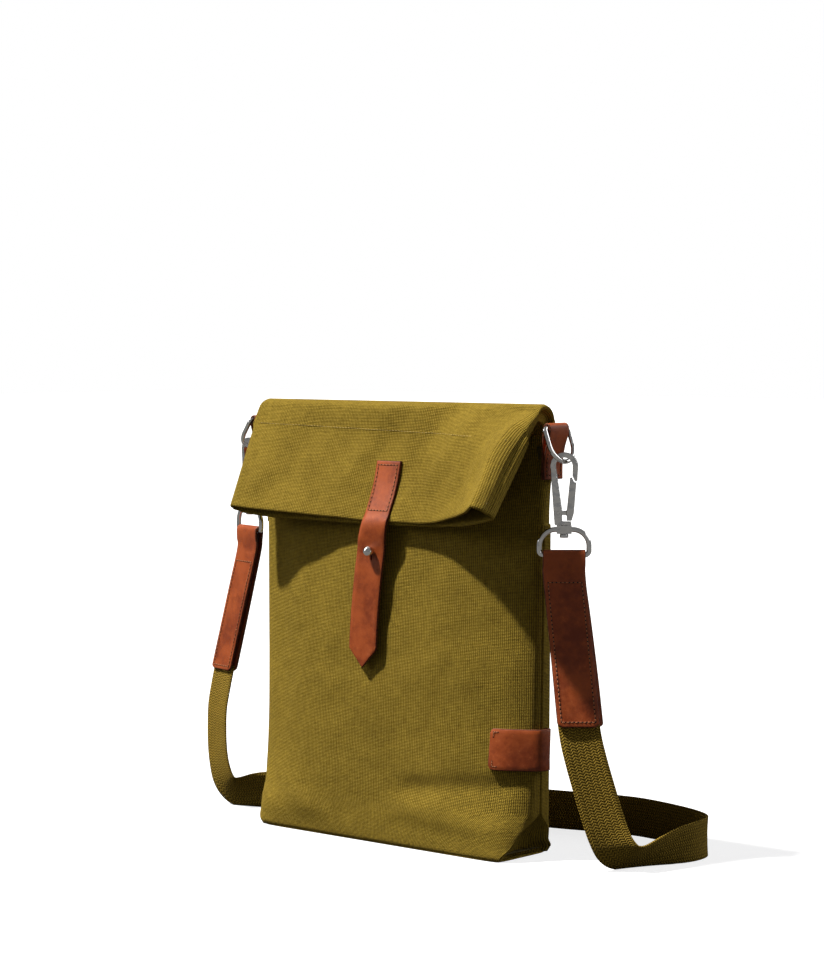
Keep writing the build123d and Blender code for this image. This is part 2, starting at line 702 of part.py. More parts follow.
# ---------------------------------------------------------------- slide adjuster
SLIDE_TURN = 18.7       # heading of the slide along the strap, in degrees
SLIDE_AT = (-86.7, 76.7, 18.6)
SLIDE_FRONT = 13.0
SLIDE_BACK = -17.0
SLIDE_HALF = 17.5       # half of the height between the rails
SLIDE_BAR_R = 1.2


def slide_plane():
    """Vertical plane along the slide: x runs along the strap, y up, z towards the bag."""
    heading = Vector(cos(radians(SLIDE_TURN)), sin(radians(SLIDE_TURN)), 0)
    return Plane(origin=SLIDE_AT, x_dir=heading, z_dir=Vector(heading.Y, -heading.X, 0))


# Bars along the slide: place along it, and depth. The long webbing runs between the
# raised middle bar and the two beside it; the short webbing is sewn round the last one.
SLIDE_BARS = [(-14, 0), (-5, -0.9), (3, -5.3), (11, -0.9)]

with BuildPart() as slide_frame:
    upright = slide_plane()
    for edge in (-SLIDE_HALF + 1.0, SLIDE_HALF - 1.0):
        with BuildSketch(upright.offset(-7.5)):
            with Locations(((SLIDE_FRONT + SLIDE_BACK) / 2, edge)):
                RectangleRounded(SLIDE_FRONT - SLIDE_BACK, 2.0, 0.9)
        extrude(amount=8.9)
    for place, depth in SLIDE_BARS:
        foot = upright.from_local_coords((place, -SLIDE_HALF + 1, depth))
        with BuildSketch(Plane(origin=foot)):
            Circle(SLIDE_BAR_R)
        extrude(amount=2 * SLIDE_HALF - 2)
save(slide_frame, "slide_adjuster")
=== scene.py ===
import json
from math import cos, exp, pi, radians, sin

import bmesh
import bpy
import numpy as np
from mathutils import Euler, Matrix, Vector, noise


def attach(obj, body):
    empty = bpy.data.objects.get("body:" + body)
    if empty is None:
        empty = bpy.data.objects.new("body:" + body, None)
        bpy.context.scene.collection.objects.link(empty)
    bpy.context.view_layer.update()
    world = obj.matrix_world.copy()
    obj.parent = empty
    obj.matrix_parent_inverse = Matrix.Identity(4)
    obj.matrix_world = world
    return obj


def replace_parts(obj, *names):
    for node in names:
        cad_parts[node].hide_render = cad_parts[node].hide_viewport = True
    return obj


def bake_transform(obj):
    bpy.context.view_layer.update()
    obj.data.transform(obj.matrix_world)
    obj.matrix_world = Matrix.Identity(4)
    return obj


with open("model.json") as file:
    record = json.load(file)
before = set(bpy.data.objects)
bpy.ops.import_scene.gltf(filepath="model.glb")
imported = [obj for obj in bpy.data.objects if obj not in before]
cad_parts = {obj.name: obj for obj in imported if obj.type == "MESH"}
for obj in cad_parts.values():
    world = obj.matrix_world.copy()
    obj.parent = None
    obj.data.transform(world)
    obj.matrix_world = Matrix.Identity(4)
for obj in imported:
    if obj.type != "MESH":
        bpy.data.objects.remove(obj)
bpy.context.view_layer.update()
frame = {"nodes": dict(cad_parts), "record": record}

MM = 0.001              # sizes below are in millimetres, and turned into metres by this


# ------------------------------------------------------------------ camera
camera = bpy.data.objects.new("camera", bpy.data.cameras.new("camera"))
bpy.context.scene.collection.objects.link(camera)
camera.location = (1.3202, -1.5063, 0.3833)
camera.rotation_euler = Euler((radians(90 - 3.34), 0, radians(41.0)))
camera.data.lens = 97.0
camera.data.sensor_width = 36.0
camera.data.clip_end = 30
bpy.context.scene.camera = camera


# ------------------------------------------------------------------ curves and meshes
def reach_along(points):
    """How far along a line each of its points is."""
    steps = np.linalg.norm(np.diff(points, axis=0), axis=1)
    return np.concatenate([[0], np.cumsum(steps)])


def sample(wanted, reach, points):
    """The points at the wanted distances along a line, or the values that go with its points."""
    return np.stack([np.interp(wanted, reach, points[:, k]) for k in range(points.shape[1])], axis=-1)


def unit(vectors):
    """The same directions, with length one."""
    return vectors / np.maximum(np.linalg.norm(vectors, axis=-1, keepdims=True), 1e-6)


def catmull(points, count, fine_already=False):
    """Points along a smooth curve through the given ones, evenly spread along its length."""
    points = np.asarray(points, float)
    if len(points) < 3 or fine_already:
        fine = points
    else:
        padded = np.vstack([2 * points[0] - points[1], points, 2 * points[-1] - points[-2]])
        fine = []
        for i in range(1, len(padded) - 2):
            a, b, c, d = padded[i - 1:i + 3]
            for t in np.linspace(0, 1, 16, endpoint=False):
                fine.append(0.5 * (2 * b + (c - a) * t + (2 * a - 5 * b + 4 * c - d) * t ** 2
                                   + (3 * b - a - 3 * c + d) * t ** 3))
        fine = np.array(fine + [points[-1]])
    reach = reach_along(fine)
    return sample(np.linspace(0, reach[-1], count), reach, fine)


def blend_rows(heights, rows, wanted):
    """Rows of points at the wanted heights, on smooth curves through the given rows that never overshoot."""
    rows = np.asarray(rows, float)
    heights = np.asarray(heights, float)
    steps = np.diff(rows, axis=0) / np.diff(heights)[:, None, None]
    slopes = np.zeros_like(rows)
    before, after = steps[:-1], steps[1:]
    same_way = before * after > 0
    slopes[1:-1] = np.where(same_way, 2 * before * after / np.where(same_way, before + after, 1.0), 0.0)
    slopes[0], slopes[-1] = steps[0], steps[-1]
    found = []
    for z in wanted:
        i = int(np.clip(np.searchsorted(heights, z) - 1, 0, len(heights) - 2))
        span = heights[i + 1] - heights[i]
        t = (z - heights[i]) / span
        found.append((2 * t ** 3 - 3 * t ** 2 + 1) * rows[i] + (t ** 3 - 2 * t ** 2 + t) * span * slopes[i]
                     + (3 * t ** 2 - 2 * t ** 3) * rows[i + 1] + (t ** 3 - t ** 2) * span * slopes[i + 1])
    return np.array(found)


def smoothstep(low, high, value):
    """0 below low, 1 above high, and smooth between."""
    t = np.clip((value - low) / (high - low), 0, 1)
    return t * t * (3 - 2 * t)


def ridge(x, y, start, end, width, height):
    """A soft fold along the line from start to end, which fades out at both ends."""
    line = np.subtract(end, start)
    length = np.linalg.norm(line)
    way = line / length
    along = (x - start[0]) * way[0] + (y - start[1]) * way[1]
    across = (x - start[0]) * -way[1] + (y - start[1]) * way[0]
    beyond = np.maximum(0, np.maximum(-along, along - length))
    return height * np.exp(-(across / width) ** 2) * np.exp(-(beyond / (1.5 * width)) ** 2)


def crumple(x, y, *layers):
    """Smooth uneven noise over two coordinates: the sum of layers of (size, seed, height)."""
    total = 0.0
    for size, seed, height in layers:
        found = np.empty(np.shape(x))
        for index in np.ndindex(found.shape):
            found[index] = noise.noise(Vector((x[index] / size, y[index] / size, seed)))
        total = total + found * 1.6 * height
    return total


def finished_mesh(name, bm):
    """Turn a bmesh into a mesh, and free it."""
    mesh = bpy.data.meshes.new(name)
    bm.to_mesh(mesh)
    bm.free()
    return mesh


def new_object(name, mesh, body=None, material=None):
    """Link a mesh as a smooth piece that rides on a body."""
    piece = bpy.data.objects.new(name, mesh)
    bpy.context.scene.collection.objects.link(piece)
    if material:
        mesh.materials.append(material)
    mesh.polygons.foreach_set("use_smooth", [True] * len(mesh.polygons))
    if body:
        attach(piece, body)
    return piece


def grid_mesh(name, grids, weld=0.0, closed=False):
    """One mesh from grids of points in millimetres, with the cloth's own lengths as UVs.

    A grid is (points[rows][columns], u[rows][columns], v[rows][columns]).
    """
    bm = bmesh.new()
    uv = bm.loops.layers.uv.new("cloth")
    for points, us, vs in grids:
        rows, columns = points.shape[:2]
        made = [[bm.verts.new(points[i, j] * MM) for j in range(columns)] for i in range(rows)]
        for i in range(rows - 1):
            for j in range(columns - 1):
                corner = [(i, j), (i, j + 1), (i + 1, j + 1), (i + 1, j)]
                face = bm.faces.new([made[a][b] for a, b in corner])
                for loop, (a, b) in zip(face.loops, corner):
                    loop[uv].uv = (us[a, b] * MM, vs[a, b] * MM)
    if weld:
        bmesh.ops.remove_doubles(bm, verts=bm.verts, dist=weld * MM)
        bmesh.ops.recalc_face_normals(bm, faces=bm.faces)
    if closed:
        bmesh.ops.holes_fill(bm, edges=[edge for edge in bm.edges if edge.is_boundary], sides=0)
        bmesh.ops.recalc_face_normals(bm, faces=bm.faces)
    return finished_mesh(name, bm)


def lengths(points, axis):
    """How far each point of a grid is along its row (axis 1) or column (axis 0)."""
    steps = np.linalg.norm(np.diff(points, axis=axis), axis=2)
    zero = np.zeros_like(np.take(steps, [0], axis=axis))
    return np.concatenate([zero, np.cumsum(steps, axis=axis)], axis=axis)


def cloth_grid(points, u_from=0.0, v_from=0.0):
    """A grid with UVs measured along the cloth, the same for a whole row or column."""
    u = lengths(points, 1)
    v = lengths(points, 0)
    u = np.broadcast_to(u.mean(axis=0), u.shape) + u_from
    v = np.broadcast_to(v.mean(axis=1)[:, None], v.shape) + v_from
    return points, u, v


def cloth_piece(name, grids, body, material, replaced, thickness, offset=-1.0, even=False, weld=0.0):
    """A piece of cloth from grids, with its thickness in millimetres and its CAD nodes."""
    piece = new_object(name, grid_mesh(name, grids, weld), body, material)
    modifier = piece.modifiers.new("thickness", "SOLIDIFY")
    modifier.thickness = thickness * MM
    modifier.offset = offset
    modifier.use_even_offset = even
    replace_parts(piece, *replaced)
    return piece


# ------------------------------------------------------------------ shader nodes
class Shader:
    """The node tree of a material or a world, with short calls for the nodes that it uses."""

    def __init__(self, owner, surface="Principled BSDF"):
        owner.use_nodes = True
        self.owner = owner
        self.tree = owner.node_tree
        self.surface = self.tree.nodes[surface]
        self.coordinates = self.node("ShaderNodeTexCoord").outputs

    def node(self, kind, **settings):
        """Add a node with these settings."""
        made = self.tree.nodes.new(kind)
        for key, value in settings.items():
            setattr(made, key, value)
        return made

    def wire(self, value, socket):
        """Join an output to a socket, or set the socket's own value."""
        if isinstance(value, bpy.types.NodeSocket):
            self.tree.links.new(value, socket)
        elif socket.type == "RGBA":
            socket.default_value = (*value, 1.0)
        else:
            socket.default_value = value

    def math(self, operation, *values):
        """One operation on numbers."""
        made = self.node("ShaderNodeMath", operation=operation)
        for value, socket in zip(values, made.inputs):
            self.wire(value, socket)
        return made.outputs[0]

    def total(self, *parts):
        """The sum of (value, weight) parts."""
        found = 0.0
        for value, weight in parts:
            found = self.math("MULTIPLY_ADD", value, weight, found)
        return found

    def hump(self, value):
        """0 at whole numbers, and 1 halfway between them."""
        return self.math("SINE", self.math("MULTIPLY", self.math("FRACT", value), pi))

    def mix(self, amount, first, second, kind="RGBA"):
        """Mix two colours, or two numbers if the kind is FLOAT."""
        made = self.node("ShaderNodeMix", data_type=kind)
        at = 6 if kind == "RGBA" else 2
        for value, socket in ((amount, 0), (first, at), (second, at + 1)):
            self.wire(value, made.inputs[socket])
        return made.outputs[2 if kind == "RGBA" else 0]

    def ramp(self, value, low, high):
        """Map a number smoothly, from one (value, level) pair to another."""
        made = self.node("ShaderNodeMapRange", interpolation_type="SMOOTHSTEP")
        self.wire(value, made.inputs["Value"])
        for end, (start, level) in (("Min", low), ("Max", high)):
            made.inputs["From " + end].default_value = start
            made.inputs["To " + end].default_value = level
        return made.outputs["Result"]

    def noise(self, scale, detail=3.0, roughness=0.55, place=None):
        """Noise over the object's own space, or over another place."""
        made = self.node("ShaderNodeTexNoise")
        self.wire(place or self.coordinates["Object"], made.inputs["Vector"])
        for key, value in (("Scale", scale), ("Detail", detail), ("Roughness", roughness)):
            made.inputs[key].default_value = value
        return made.outputs["Fac"]

    def cloth(self, across, along):
        """How far across and along the cloth, in steps of so many millimetres."""
        split = self.node("ShaderNodeSeparateXYZ")
        self.wire(self.coordinates["UV"], split.inputs[0])
        return [self.math("DIVIDE", split.outputs[k], size * MM) for k, size in enumerate((across, along))]

    def yarns(self, across, along):
        """Noise whose marks are so many millimetres across and along the cloth."""
        joined = self.node("ShaderNodeCombineXYZ")
        for value, socket in zip(self.cloth(across, along), joined.inputs):
            self.wire(value, socket)
        return self.noise(1.0, 1.0, 0.5, joined.outputs[0])

    def bump(self, height, distance, strength=1.0, under=None):
        """Relief of so many millimetres, on top of another relief."""
        made = self.node("ShaderNodeBump")
        self.wire(strength, made.inputs["Strength"])
        self.wire(distance * MM, made.inputs["Distance"])
        self.wire(height, made.inputs["Height"])
        if under:
            self.wire(under, made.inputs["Normal"])
        return made.outputs["Normal"]

    def finish(self, **inputs):
        """Wire or set the surface's inputs, and give the material."""
        for key, value in inputs.items():
            self.wire(value, self.surface.inputs[key.replace("_", " ")])
        return self.owner


def canvas_material(name, dark, light, pitch=1.08, depth=0.42, contrast=1.0):
    """Plain-weave cotton canvas: threads over and under, uneven yarns, and faded patches."""
    s = Shader(bpy.data.materials.new(name))
    u, v = s.cloth(pitch * 1.45, pitch)
    u = s.total((s.noise(60, 2.0), 0.3), (u, 1.0))
    v = s.total((s.noise(50, 2.0), 0.4), (v, 1.0))
    parity = s.math("FLOORED_MODULO", s.math("ADD", s.math("FLOOR", u), s.math("FLOOR", v)), 2.0)
    across, along = s.hump(u), s.hump(v)
    warp = s.math("MULTIPLY", across, s.math("MULTIPLY_ADD", along, 0.7, 0.28))
    weft = s.math("MULTIPLY", along, s.math("MULTIPLY_ADD", across, 0.7, 0.22))
    weave = s.mix(parity, warp, weft, "FLOAT")
    slub = s.total((s.yarns(pitch * 1.6, pitch * 9.0), 0.5), (s.yarns(pitch * 9.0, pitch * 1.6), 0.5))
    tone = s.total((weave, 0.85 * contrast), (slub, 0.55 * contrast),
                   (s.noise(16, 4.0), 0.35), (s.noise(650, 2.0), 0.35))
    middle = 0.275 * contrast + 0.35
    return s.finish(
        Base_Color=s.mix(s.ramp(tone, (middle - 0.08, 0.0), (middle + 0.82, 1.0)), dark, light),
        Roughness=s.ramp(weave, (0.0, 0.95), (1.0, 0.82)), Specular_IOR_Level=0.1,
        Normal=s.bump(s.total((weave, 1.0), (slub, 0.9)), depth, 1.0, s.bump(s.noise(48, 4.0), 0.9, 0.6)))


def webbing_material(name, dark, light):
    """Cotton webbing: a herringbone of long floats, with a tighter selvedge."""
    s = Shader(bpy.data.materials.new(name))
    u, v = s.cloth(2.3, 2.1)
    slant = s.total((v, 1.0), (s.math("PINGPONG", u, 1.0), 0.782), (s.noise(120, 2.0), 0.35))
    weave = s.math("MULTIPLY", s.hump(slant), s.math("MULTIPLY_ADD", s.hump(u), 0.5, 0.5))
    fuzz = s.noise(600, 2.0)
    tone = s.total((weave, 0.62), (fuzz, 0.42), (s.noise(20, 3.0), 0.16))
    return s.finish(
        Base_Color=s.mix(s.ramp(tone, (0.2, 0.0), (1.0, 1.0)), dark, light),
        Roughness=s.ramp(weave, (0.0, 0.95), (1.0, 0.8)), Specular_IOR_Level=0.1,
        Normal=s.bump(s.total((weave, 1.0), (fuzz, 0.3)), 0.55))


def leather_material(name, dark, middle, light, gloss):
    """Pull-up leather: fine grain, cloudy tone, scuffs, and a waxed sheen."""
    s = Shader(bpy.data.materials.new(name))
    clouds = s.noise(38, 5.0, 0.6)
    scuffs = s.noise(240, 6.0, 0.7)
    cells = s.node("ShaderNodeTexVoronoi", feature="DISTANCE_TO_EDGE")
    s.wire(s.coordinates["Object"], cells.inputs["Vector"])
    s.wire(1500, cells.inputs["Scale"])
    grain = s.ramp(cells.outputs["Distance"], (0.0, 0.0), (0.12, 1.0))
    tone = s.total((clouds, 0.75), (scuffs, 0.35))
    colour = s.mix(s.ramp(tone, (0.38, 0.0), (0.68, 1.0)), dark, middle)
    relief = s.total((grain, 0.55), (s.noise(900, 3.0), 0.7))
    return s.finish(
        Base_Color=s.mix(s.ramp(scuffs, (0.60, 0.0), (0.78, 0.55)), colour, light),
        Roughness=s.ramp(scuffs, (0.35, gloss), (0.7, gloss + 0.2)), Specular_IOR_Level=0.32,
        Normal=s.bump(relief, 0.07, 0.7, s.bump(clouds, 0.6, 0.35)))


def fibre_material(name, dark, light, scale, detail, top, relief):
    """Twisted thread, a cut edge, or the painted shade of stitch holes: fine fibres of two colours."""
    s = Shader(bpy.data.materials.new(name))
    fibre = s.noise(scale, detail)
    return s.finish(Base_Color=s.mix(s.ramp(fibre, (0.35, 0.0), (top, 1.0)), dark, light),
                    Roughness=0.7, Specular_IOR_Level=0.3, Normal=s.bump(fibre, relief, 0.8))


def steel_material(name, dull, bright):
    """Polished nickel plate, with faint wipe marks, specks and a slight wave."""
    s = Shader(bpy.data.materials.new(name))
    wipe = s.noise(160, 5.0, 0.7)
    return s.finish(
        Base_Color=s.mix(s.ramp(wipe, (0.35, 0.0), (0.75, 1.0)), dull, bright), Metallic=1.0,
        Roughness=s.total((s.ramp(wipe, (0.4, 0.06), (0.75, 0.16)), 1.0), (s.noise(1100, 2.0), 0.04)),
        Normal=s.bump(s.total((s.noise(260, 0.0), 1.0), (wipe, 0.06)), 0.45, 0.8))


THREAD = (1800, 2.0, 0.65, 0.12)        # scale, detail, top and relief of the fibres
CUT_EDGE = (700, 4.0, 0.70, 0.15)
canvas = canvas_material("olive canvas", (0.060, 0.038, 0.002), (0.345, 0.236, 0.032))
lining_cloth = canvas_material("lining cotton", (0.060, 0.046, 0.014), (0.200, 0.160, 0.065), 0.5, 0.15, 0.6)
facing_cloth = canvas_material("facing cotton", (0.050, 0.034, 0.006), (0.230, 0.165, 0.045), 0.6, 0.2, 0.7)
webbing = webbing_material("olive webbing", (0.050, 0.030, 0.002), (0.330, 0.215, 0.030))
leather = leather_material("tan leather", (0.165, 0.026, 0.004), (0.335, 0.068, 0.013), (0.50, 0.16, 0.05),
                           0.34)
leather_edge = fibre_material("cut leather edge", (0.050, 0.010, 0.003), (0.17, 0.044, 0.013), *CUT_EDGE)
brown_thread = fibre_material("brown thread", (0.26, 0.080, 0.028), (0.50, 0.20, 0.085), *THREAD)
olive_thread = fibre_material("olive thread", (0.22, 0.15, 0.03), (0.48, 0.35, 0.09), *THREAD)
# The stitch holes' near-black colour is painted shade, standing for the dark inside of a hole.
painted_hole_shade = fibre_material("painted stitch-hole shade", (0.008, 0.002, 0.001), (0.020, 0.006, 0.002), *THREAD)
steel = steel_material("nickel plate", (0.688, 0.6794, 0.6708), (0.80, 0.79, 0.78))


# ------------------------------------------------------------------ shoulder strap webbing
WEB_WIDTH = 0.030
WEB_THICK = 0.0016
CUP = 0.0008            # how far the webbing's middle stands out from its edges
LOWEST = 0.2            # millimetres between the webbing and the floor
UP = (0, 0, 1)
# Route points in metres, each with the direction across the webbing.
LONG_ROUTE = [
    ((0.1764, -0.0108, 0.1197), (0.755, 0.656, 0)), ((0.1800, -0.0125, 0.1004), (0.755, 0.656, 0)),
    ((0.1850, -0.0110, 0.0800), (0.76, 0.65, 0)), ((0.1920, -0.0075, 0.0540), (0.77, 0.64, 0.02)),
    ((0.1985, -0.0040, 0.0300), (0.78, 0.62, 0.06)), ((0.2040, 0.0000, 0.0150), (0.8, 0.55, 0.2)),
    ((0.2090, 0.0110, 0.0085), (0.8, 0.35, 0.5)), ((0.2150, 0.0310, 0.0122), (0.6, 0, 0.8)),
    ((0.2215, 0.0530, 0.0149), (0.25, 0, 0.97)), ((0.2255, 0.0720, 0.0156), (0.05, 0, 1)),
]
LONG_ROUTE += [(place, UP) for place in [
    (0.2210, 0.0920, 0.0156), (0.2050, 0.1030, 0.0156), (0.1860, 0.1100, 0.0156), (0.1600, 0.1170, 0.0156),
    (0.1300, 0.1210, 0.0156), (0.0980, 0.1130, 0.0156), (0.0650, 0.1030, 0.0156), (0.0300, 0.0970, 0.0156),
    (-0.0050, 0.0940, 0.0156), (-0.0380, 0.0915, 0.0165), (-0.0660, 0.0870, 0.0186),
    (-0.0880, 0.0796, 0.0186), (-0.1120, 0.0714, 0.0186), (-0.1340, 0.0585, 0.0158),
    (-0.1520, 0.0445, 0.0158), (-0.1640, 0.0335, 0.0158)]]
SHORT_ROUTE = [
    ((-0.1933, 0.0042, 0.1203), (0.961, -0.276, 0)), ((-0.1985, 0.0040, 0.1010), (0.961, -0.276, 0)),
    ((-0.2018, 0.0030, 0.0800), (0.961, -0.276, 0.02)), ((-0.2018, 0.0028, 0.0590), (0.961, -0.276, 0.04)),
    ((-0.2010, 0.0035, 0.0370), (0.95, -0.25, 0.1)), ((-0.1975, 0.0060, 0.0200), (0.9, -0.15, 0.25)),
    ((-0.1890, 0.0110, 0.0112), (0.75, 0, 0.6)), ((-0.1710, 0.0210, 0.0148), (0.35, 0.1, 0.93)),
    ((-0.1500, 0.0360, 0.0158), (0.05, 0.05, 1)), ((-0.1320, 0.0515, 0.0158), UP),
    ((-0.1160, 0.0630, 0.0170), UP), ((-0.1032, 0.0704, 0.0184), UP),
]
# The webbing's cross-section: parts of its half width and of its half thickness.
WEB_FACE = [(-0.97 + 1.94 * k / 8, 1) for k in range(9)]
WEB_RING = WEB_FACE + [(1.0, 0.4), (1.0, -0.4)] + [(-p, -q) for p, q in WEB_FACE]
WEB_RING += [(-1.0, -0.4), (-1.0, 0.4), WEB_FACE[0]]


def spline_points(control):
    """Points along the smooth NURBS line of a route's control points, in metres."""
    curve = bpy.data.curves.new("route", "CURVE")
    curve.dimensions = "3D"
    curve.resolution_u = 10
    spline = curve.splines.new("NURBS")
    spline.points.add(len(control) - 1)
    for point, place in zip(spline.points, control):
        point.co = (*place, 1)
    spline.order_u = 3
    spline.use_endpoint_u = True
    holder = bpy.data.objects.new("route", curve)
    line = bpy.data.meshes.new_from_object(holder)
    found = [vertex.co.copy() for vertex in line.vertices]
    bpy.data.objects.remove(holder)
    return found


def heading(line, i):
    """Which way a line of vectors runs at its point i."""
    return (line[min(i + 1, len(line) - 1)] - line[max(i - 1, 0)]).normalized()


def route_lines(route):
    """The NURBS lines of a route's middle and of its two edges."""
    middle = [Vector(point) for point, _ in route]
    lines = [middle, [], []]
    for i, (_, across) in enumerate(route):
        along, across = heading(middle, i), Vector(across)
        across = (across - along * across.dot(along)).normalized()
        for line, side in ((lines[1], -1), (lines[2], 1)):
            line.append(middle[i] + across * side * WEB_WIDTH / 2)
    return [spline_points(line) for line in lines]


def lay_webbing(name, route, body, foot, replaced, **cord):
    """A strip of webbing with round selvedges along a route, that rides on no body."""
    middle, left, right = route_lines(route)
    reach = np.concatenate([[0], np.cumsum([(b - a).length for a, b in zip(middle, middle[1:])])])
    rows = []
    for i, (m, a, b) in enumerate(zip(middle, left, right)):
        across = (b - a).normalized()
        face = heading(middle, i).cross(across).normalized()
        wave = (CUP + noise.noise(m * 45) * 0.0006) * float(smoothstep(10, 40, reach[i] / MM))
        rows.append([(m + across * WEB_WIDTH / 2 * p + face * (WEB_THICK / 2 * q + wave * (p * p - 0.4))) / MM
                     for p, q in WEB_RING])
    points = np.array(rows)
    points[..., 2] = np.maximum(points[..., 2], LOWEST)
    u = np.array([p * WEB_WIDTH / 2 / MM for p, q in WEB_RING])
    grid = (points, np.broadcast_to(u, points.shape[:2]),
            np.broadcast_to(reach[:, None] / MM, points.shape[:2]))
    strap = new_object(name, grid_mesh(name, [grid], weld=0.01, closed=True), None, webbing)
    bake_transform(strap)
    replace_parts(strap, replaced)


lay_webbing("long_webbing", LONG_ROUTE, "right_strap", (0.18, -0.012), "webbing_long", far_end="bare")
lay_webbing("short_webbing", SHORT_ROUTE, "left_strap", (-0.19, 0.002), "webbing_short", far_end="fitting",
            with_pieces=[frame["nodes"]["slide_adjuster"]])


# ------------------------------------------------------------------ the sack's walls
SEAM_Y = -1.0
APEX_Z = 36.0           # top of the folded-in triangle at each lower corner
WALL_TOP = 312.0
BACK_TOP = 322.0
# Rows of the right half, from the middle to the side edge: height, front and back points.
WALL_ROWS = [
    (0.0, [(0, -29.0), (70, -28.9), (119, -28.4)], [(0, 28.6), (70, 28.8), (119, 28.4)]),
    (3.5, [(0, -30.9), (70, -30.6), (110, -30.5), (121.5, -29.2)],
     [(0, 30.6), (70, 30.2), (110, 29.8), (121.5, 28.6)]),
    (12.0, [(0, -31.3), (70, -30.7), (114, -29.4), (128.0, -23.0)],
     [(0, 29.8), (70, 28.8), (116, 25.4), (127.5, 19.0)]),
    (22.0, [(0, -31.2), (70, -30.6), (115, -27.2), (132.6, -16.6)],
     [(0, 29.0), (70, 27.8), (119, 21.8), (131.6, 13.4)]),
    (APEX_Z, [(0, -31.0), (70, -29.8), (113, -23.4), (132, -12.0), (137, SEAM_Y)],
     [(0, 28.0), (70, 26.2), (120, 18.6), (134.0, 9.8), (137, SEAM_Y)]),
    (100.0, [(0, -30.0), (70, -27.4), (112, -18.5), (131, -9.0), (137.6, SEAM_Y)],
     [(0, 23.6), (70, 21.6), (122, 15.6), (135.3, 8.8), (137.6, SEAM_Y)]),
    (170.0, [(0, -28.0), (70, -24.2), (114, -14.6), (132, -7.4), (138.6, SEAM_Y)],
     [(0, 19.2), (70, 17.8), (124, 13.2), (136.2, 8.2), (138.6, SEAM_Y)]),
    (240.0, [(0, -24.2), (70, -18.6), (116, -10.4), (133, -6.0), (139.6, SEAM_Y)],
     [(0, 15.4), (70, 14.4), (126, 11.4), (136.8, 7.6), (139.6, SEAM_Y)]),
    (WALL_TOP, [(0, -3.6), (70, -3.4), (118, -2.6), (134, 0.2), (142.0, 6.5)],
     [(0, 10.0), (70, 10.1), (130, 10.3), (139.4, 10.4), (142.0, 6.5)]),
    (BACK_TOP, [(0, -3.6), (70, -3.4), (118, -2.6), (134, 0.2), (142.4, 6.5)],
     [(0, 10.0), (70, 10.1), (130, 10.3), (139.8, 10.4), (142.4, 6.5)]),
]
COLUMNS = 81            # across the right half of a wall
# Folds and dents of the front wall: from, to, width and height.
FRONT_FOLDS = [((130, 56), (36, 47), 8, -2.6), ((120, 25), (30, 29), 10, 2.0),
               ((-128, 40), (-60, 16), 12, 1.6), ((-137, 62), (-100, 26), 9, -2.2),
               ((-112, 300), (-104, 60), 16, -0.8),
               ((96, 250), (104, 110), 20, 0.9), ((0, 222), (3, 221), 13, -1.1)]


def whole_wall(which, heights):
    """A wall as rows of (x, y, z), from the left edge to the right one."""
    rows = [catmull(row[which], COLUMNS) for row in WALL_ROWS]
    flat = blend_rows([row[0] for row in WALL_ROWS], rows, heights)
    z = np.broadcast_to(np.asarray(heights)[:, None, None], (*flat.shape[:2], 1))
    right = np.concatenate([flat, z], axis=2)
    left = right[:, ::-1] * np.array([-1, 1, 1])
    return np.concatenate([left[:, :-1], right], axis=1)


def front_shape(wall):
    """Push the front wall's cloth into its folds and hollows."""
    x, z = wall[..., 0], wall[..., 2]
    edge = 1 - smoothstep(112, 137, np.abs(x))
    low = smoothstep(3, 22, z)
    out = crumple(x, z, (42, 1.0, 1.0), (19, 4.0, 0.42), (8, 6.0, 0.12))
    for fold in FRONT_FOLDS:
        out += ridge(x, z, *fold)
    moved = wall.copy()
    moved[..., 1] -= out * edge * low * (1 - smoothstep(285, 312, z))
    return moved


def back_shape(wall):
    """The same for the back wall, which the rear pocket covers."""
    x, z = wall[..., 0], wall[..., 2]
    edge = 1 - smoothstep(112, 137, np.abs(x))
    out = crumple(x, z, (46, 9.0, 0.5))
    moved = wall.copy()
    moved[..., 1] += out * edge * smoothstep(3, 22, z) * (1 - smoothstep(290, 320, z))
    return moved


def seam_groove(wall):
    """Draw the last few millimetres of a wall in, where it is sewn to its neighbour."""
    x = np.abs(wall[..., 0])
    near = x[:, -1:] - x
    groove = np.exp(-(near / 1.6) ** 2) * smoothstep(4, 20, wall[..., 2])
    moved = wall.copy()
    moved[..., 0] -= np.sign(wall[..., 0]) * groove * 1.5
    return moved


def corner_gusset(side, heights, front, back):
    """The folded-in triangle of a lower corner, between the two walls' edges."""
    edge = -1 if side > 0 else 0
    rows = []
    for i in [i for i, z in enumerate(heights) if z <= APEX_Z + 0.01]:
        start, end = front[i, edge], back[i, edge]
        part = heights[i] / APEX_Z
        depth = 13 * sin(pi * (0.12 + 0.88 * part)) ** 0.8 * (1 - part) ** 0.4
        row = []
        for b in np.linspace(0, 1, 17):
            tuck = (1 - abs(2 * b - 1) ** 1.6) * depth
            point = start * (1 - b) + end * b
            row.append(point - np.array([side * tuck, 0, 0]))
        rows.append(row)
    return np.array(rows)


low_heights = list(np.linspace(0.6, 12, 9)) + list(np.linspace(15, APEX_Z, 11))
heights = low_heights + list(np.linspace(APEX_Z + 3, WALL_TOP, 95))
back_heights = heights + [315.5, 319, BACK_TOP]
front_wall = seam_groove(front_shape(whole_wall(1, heights)))
back_wall = seam_groove(back_shape(whole_wall(2, back_heights)))
gussets = [corner_gusset(side, heights, front_wall, back_wall) for side in (1, -1)]
cloth_piece("sack", [cloth_grid(grid) for grid in (front_wall, back_wall, *gussets)], "bag", canvas,
            ("front_panel", "back_panel"), thickness=1.3, even=True, weld=0.3)


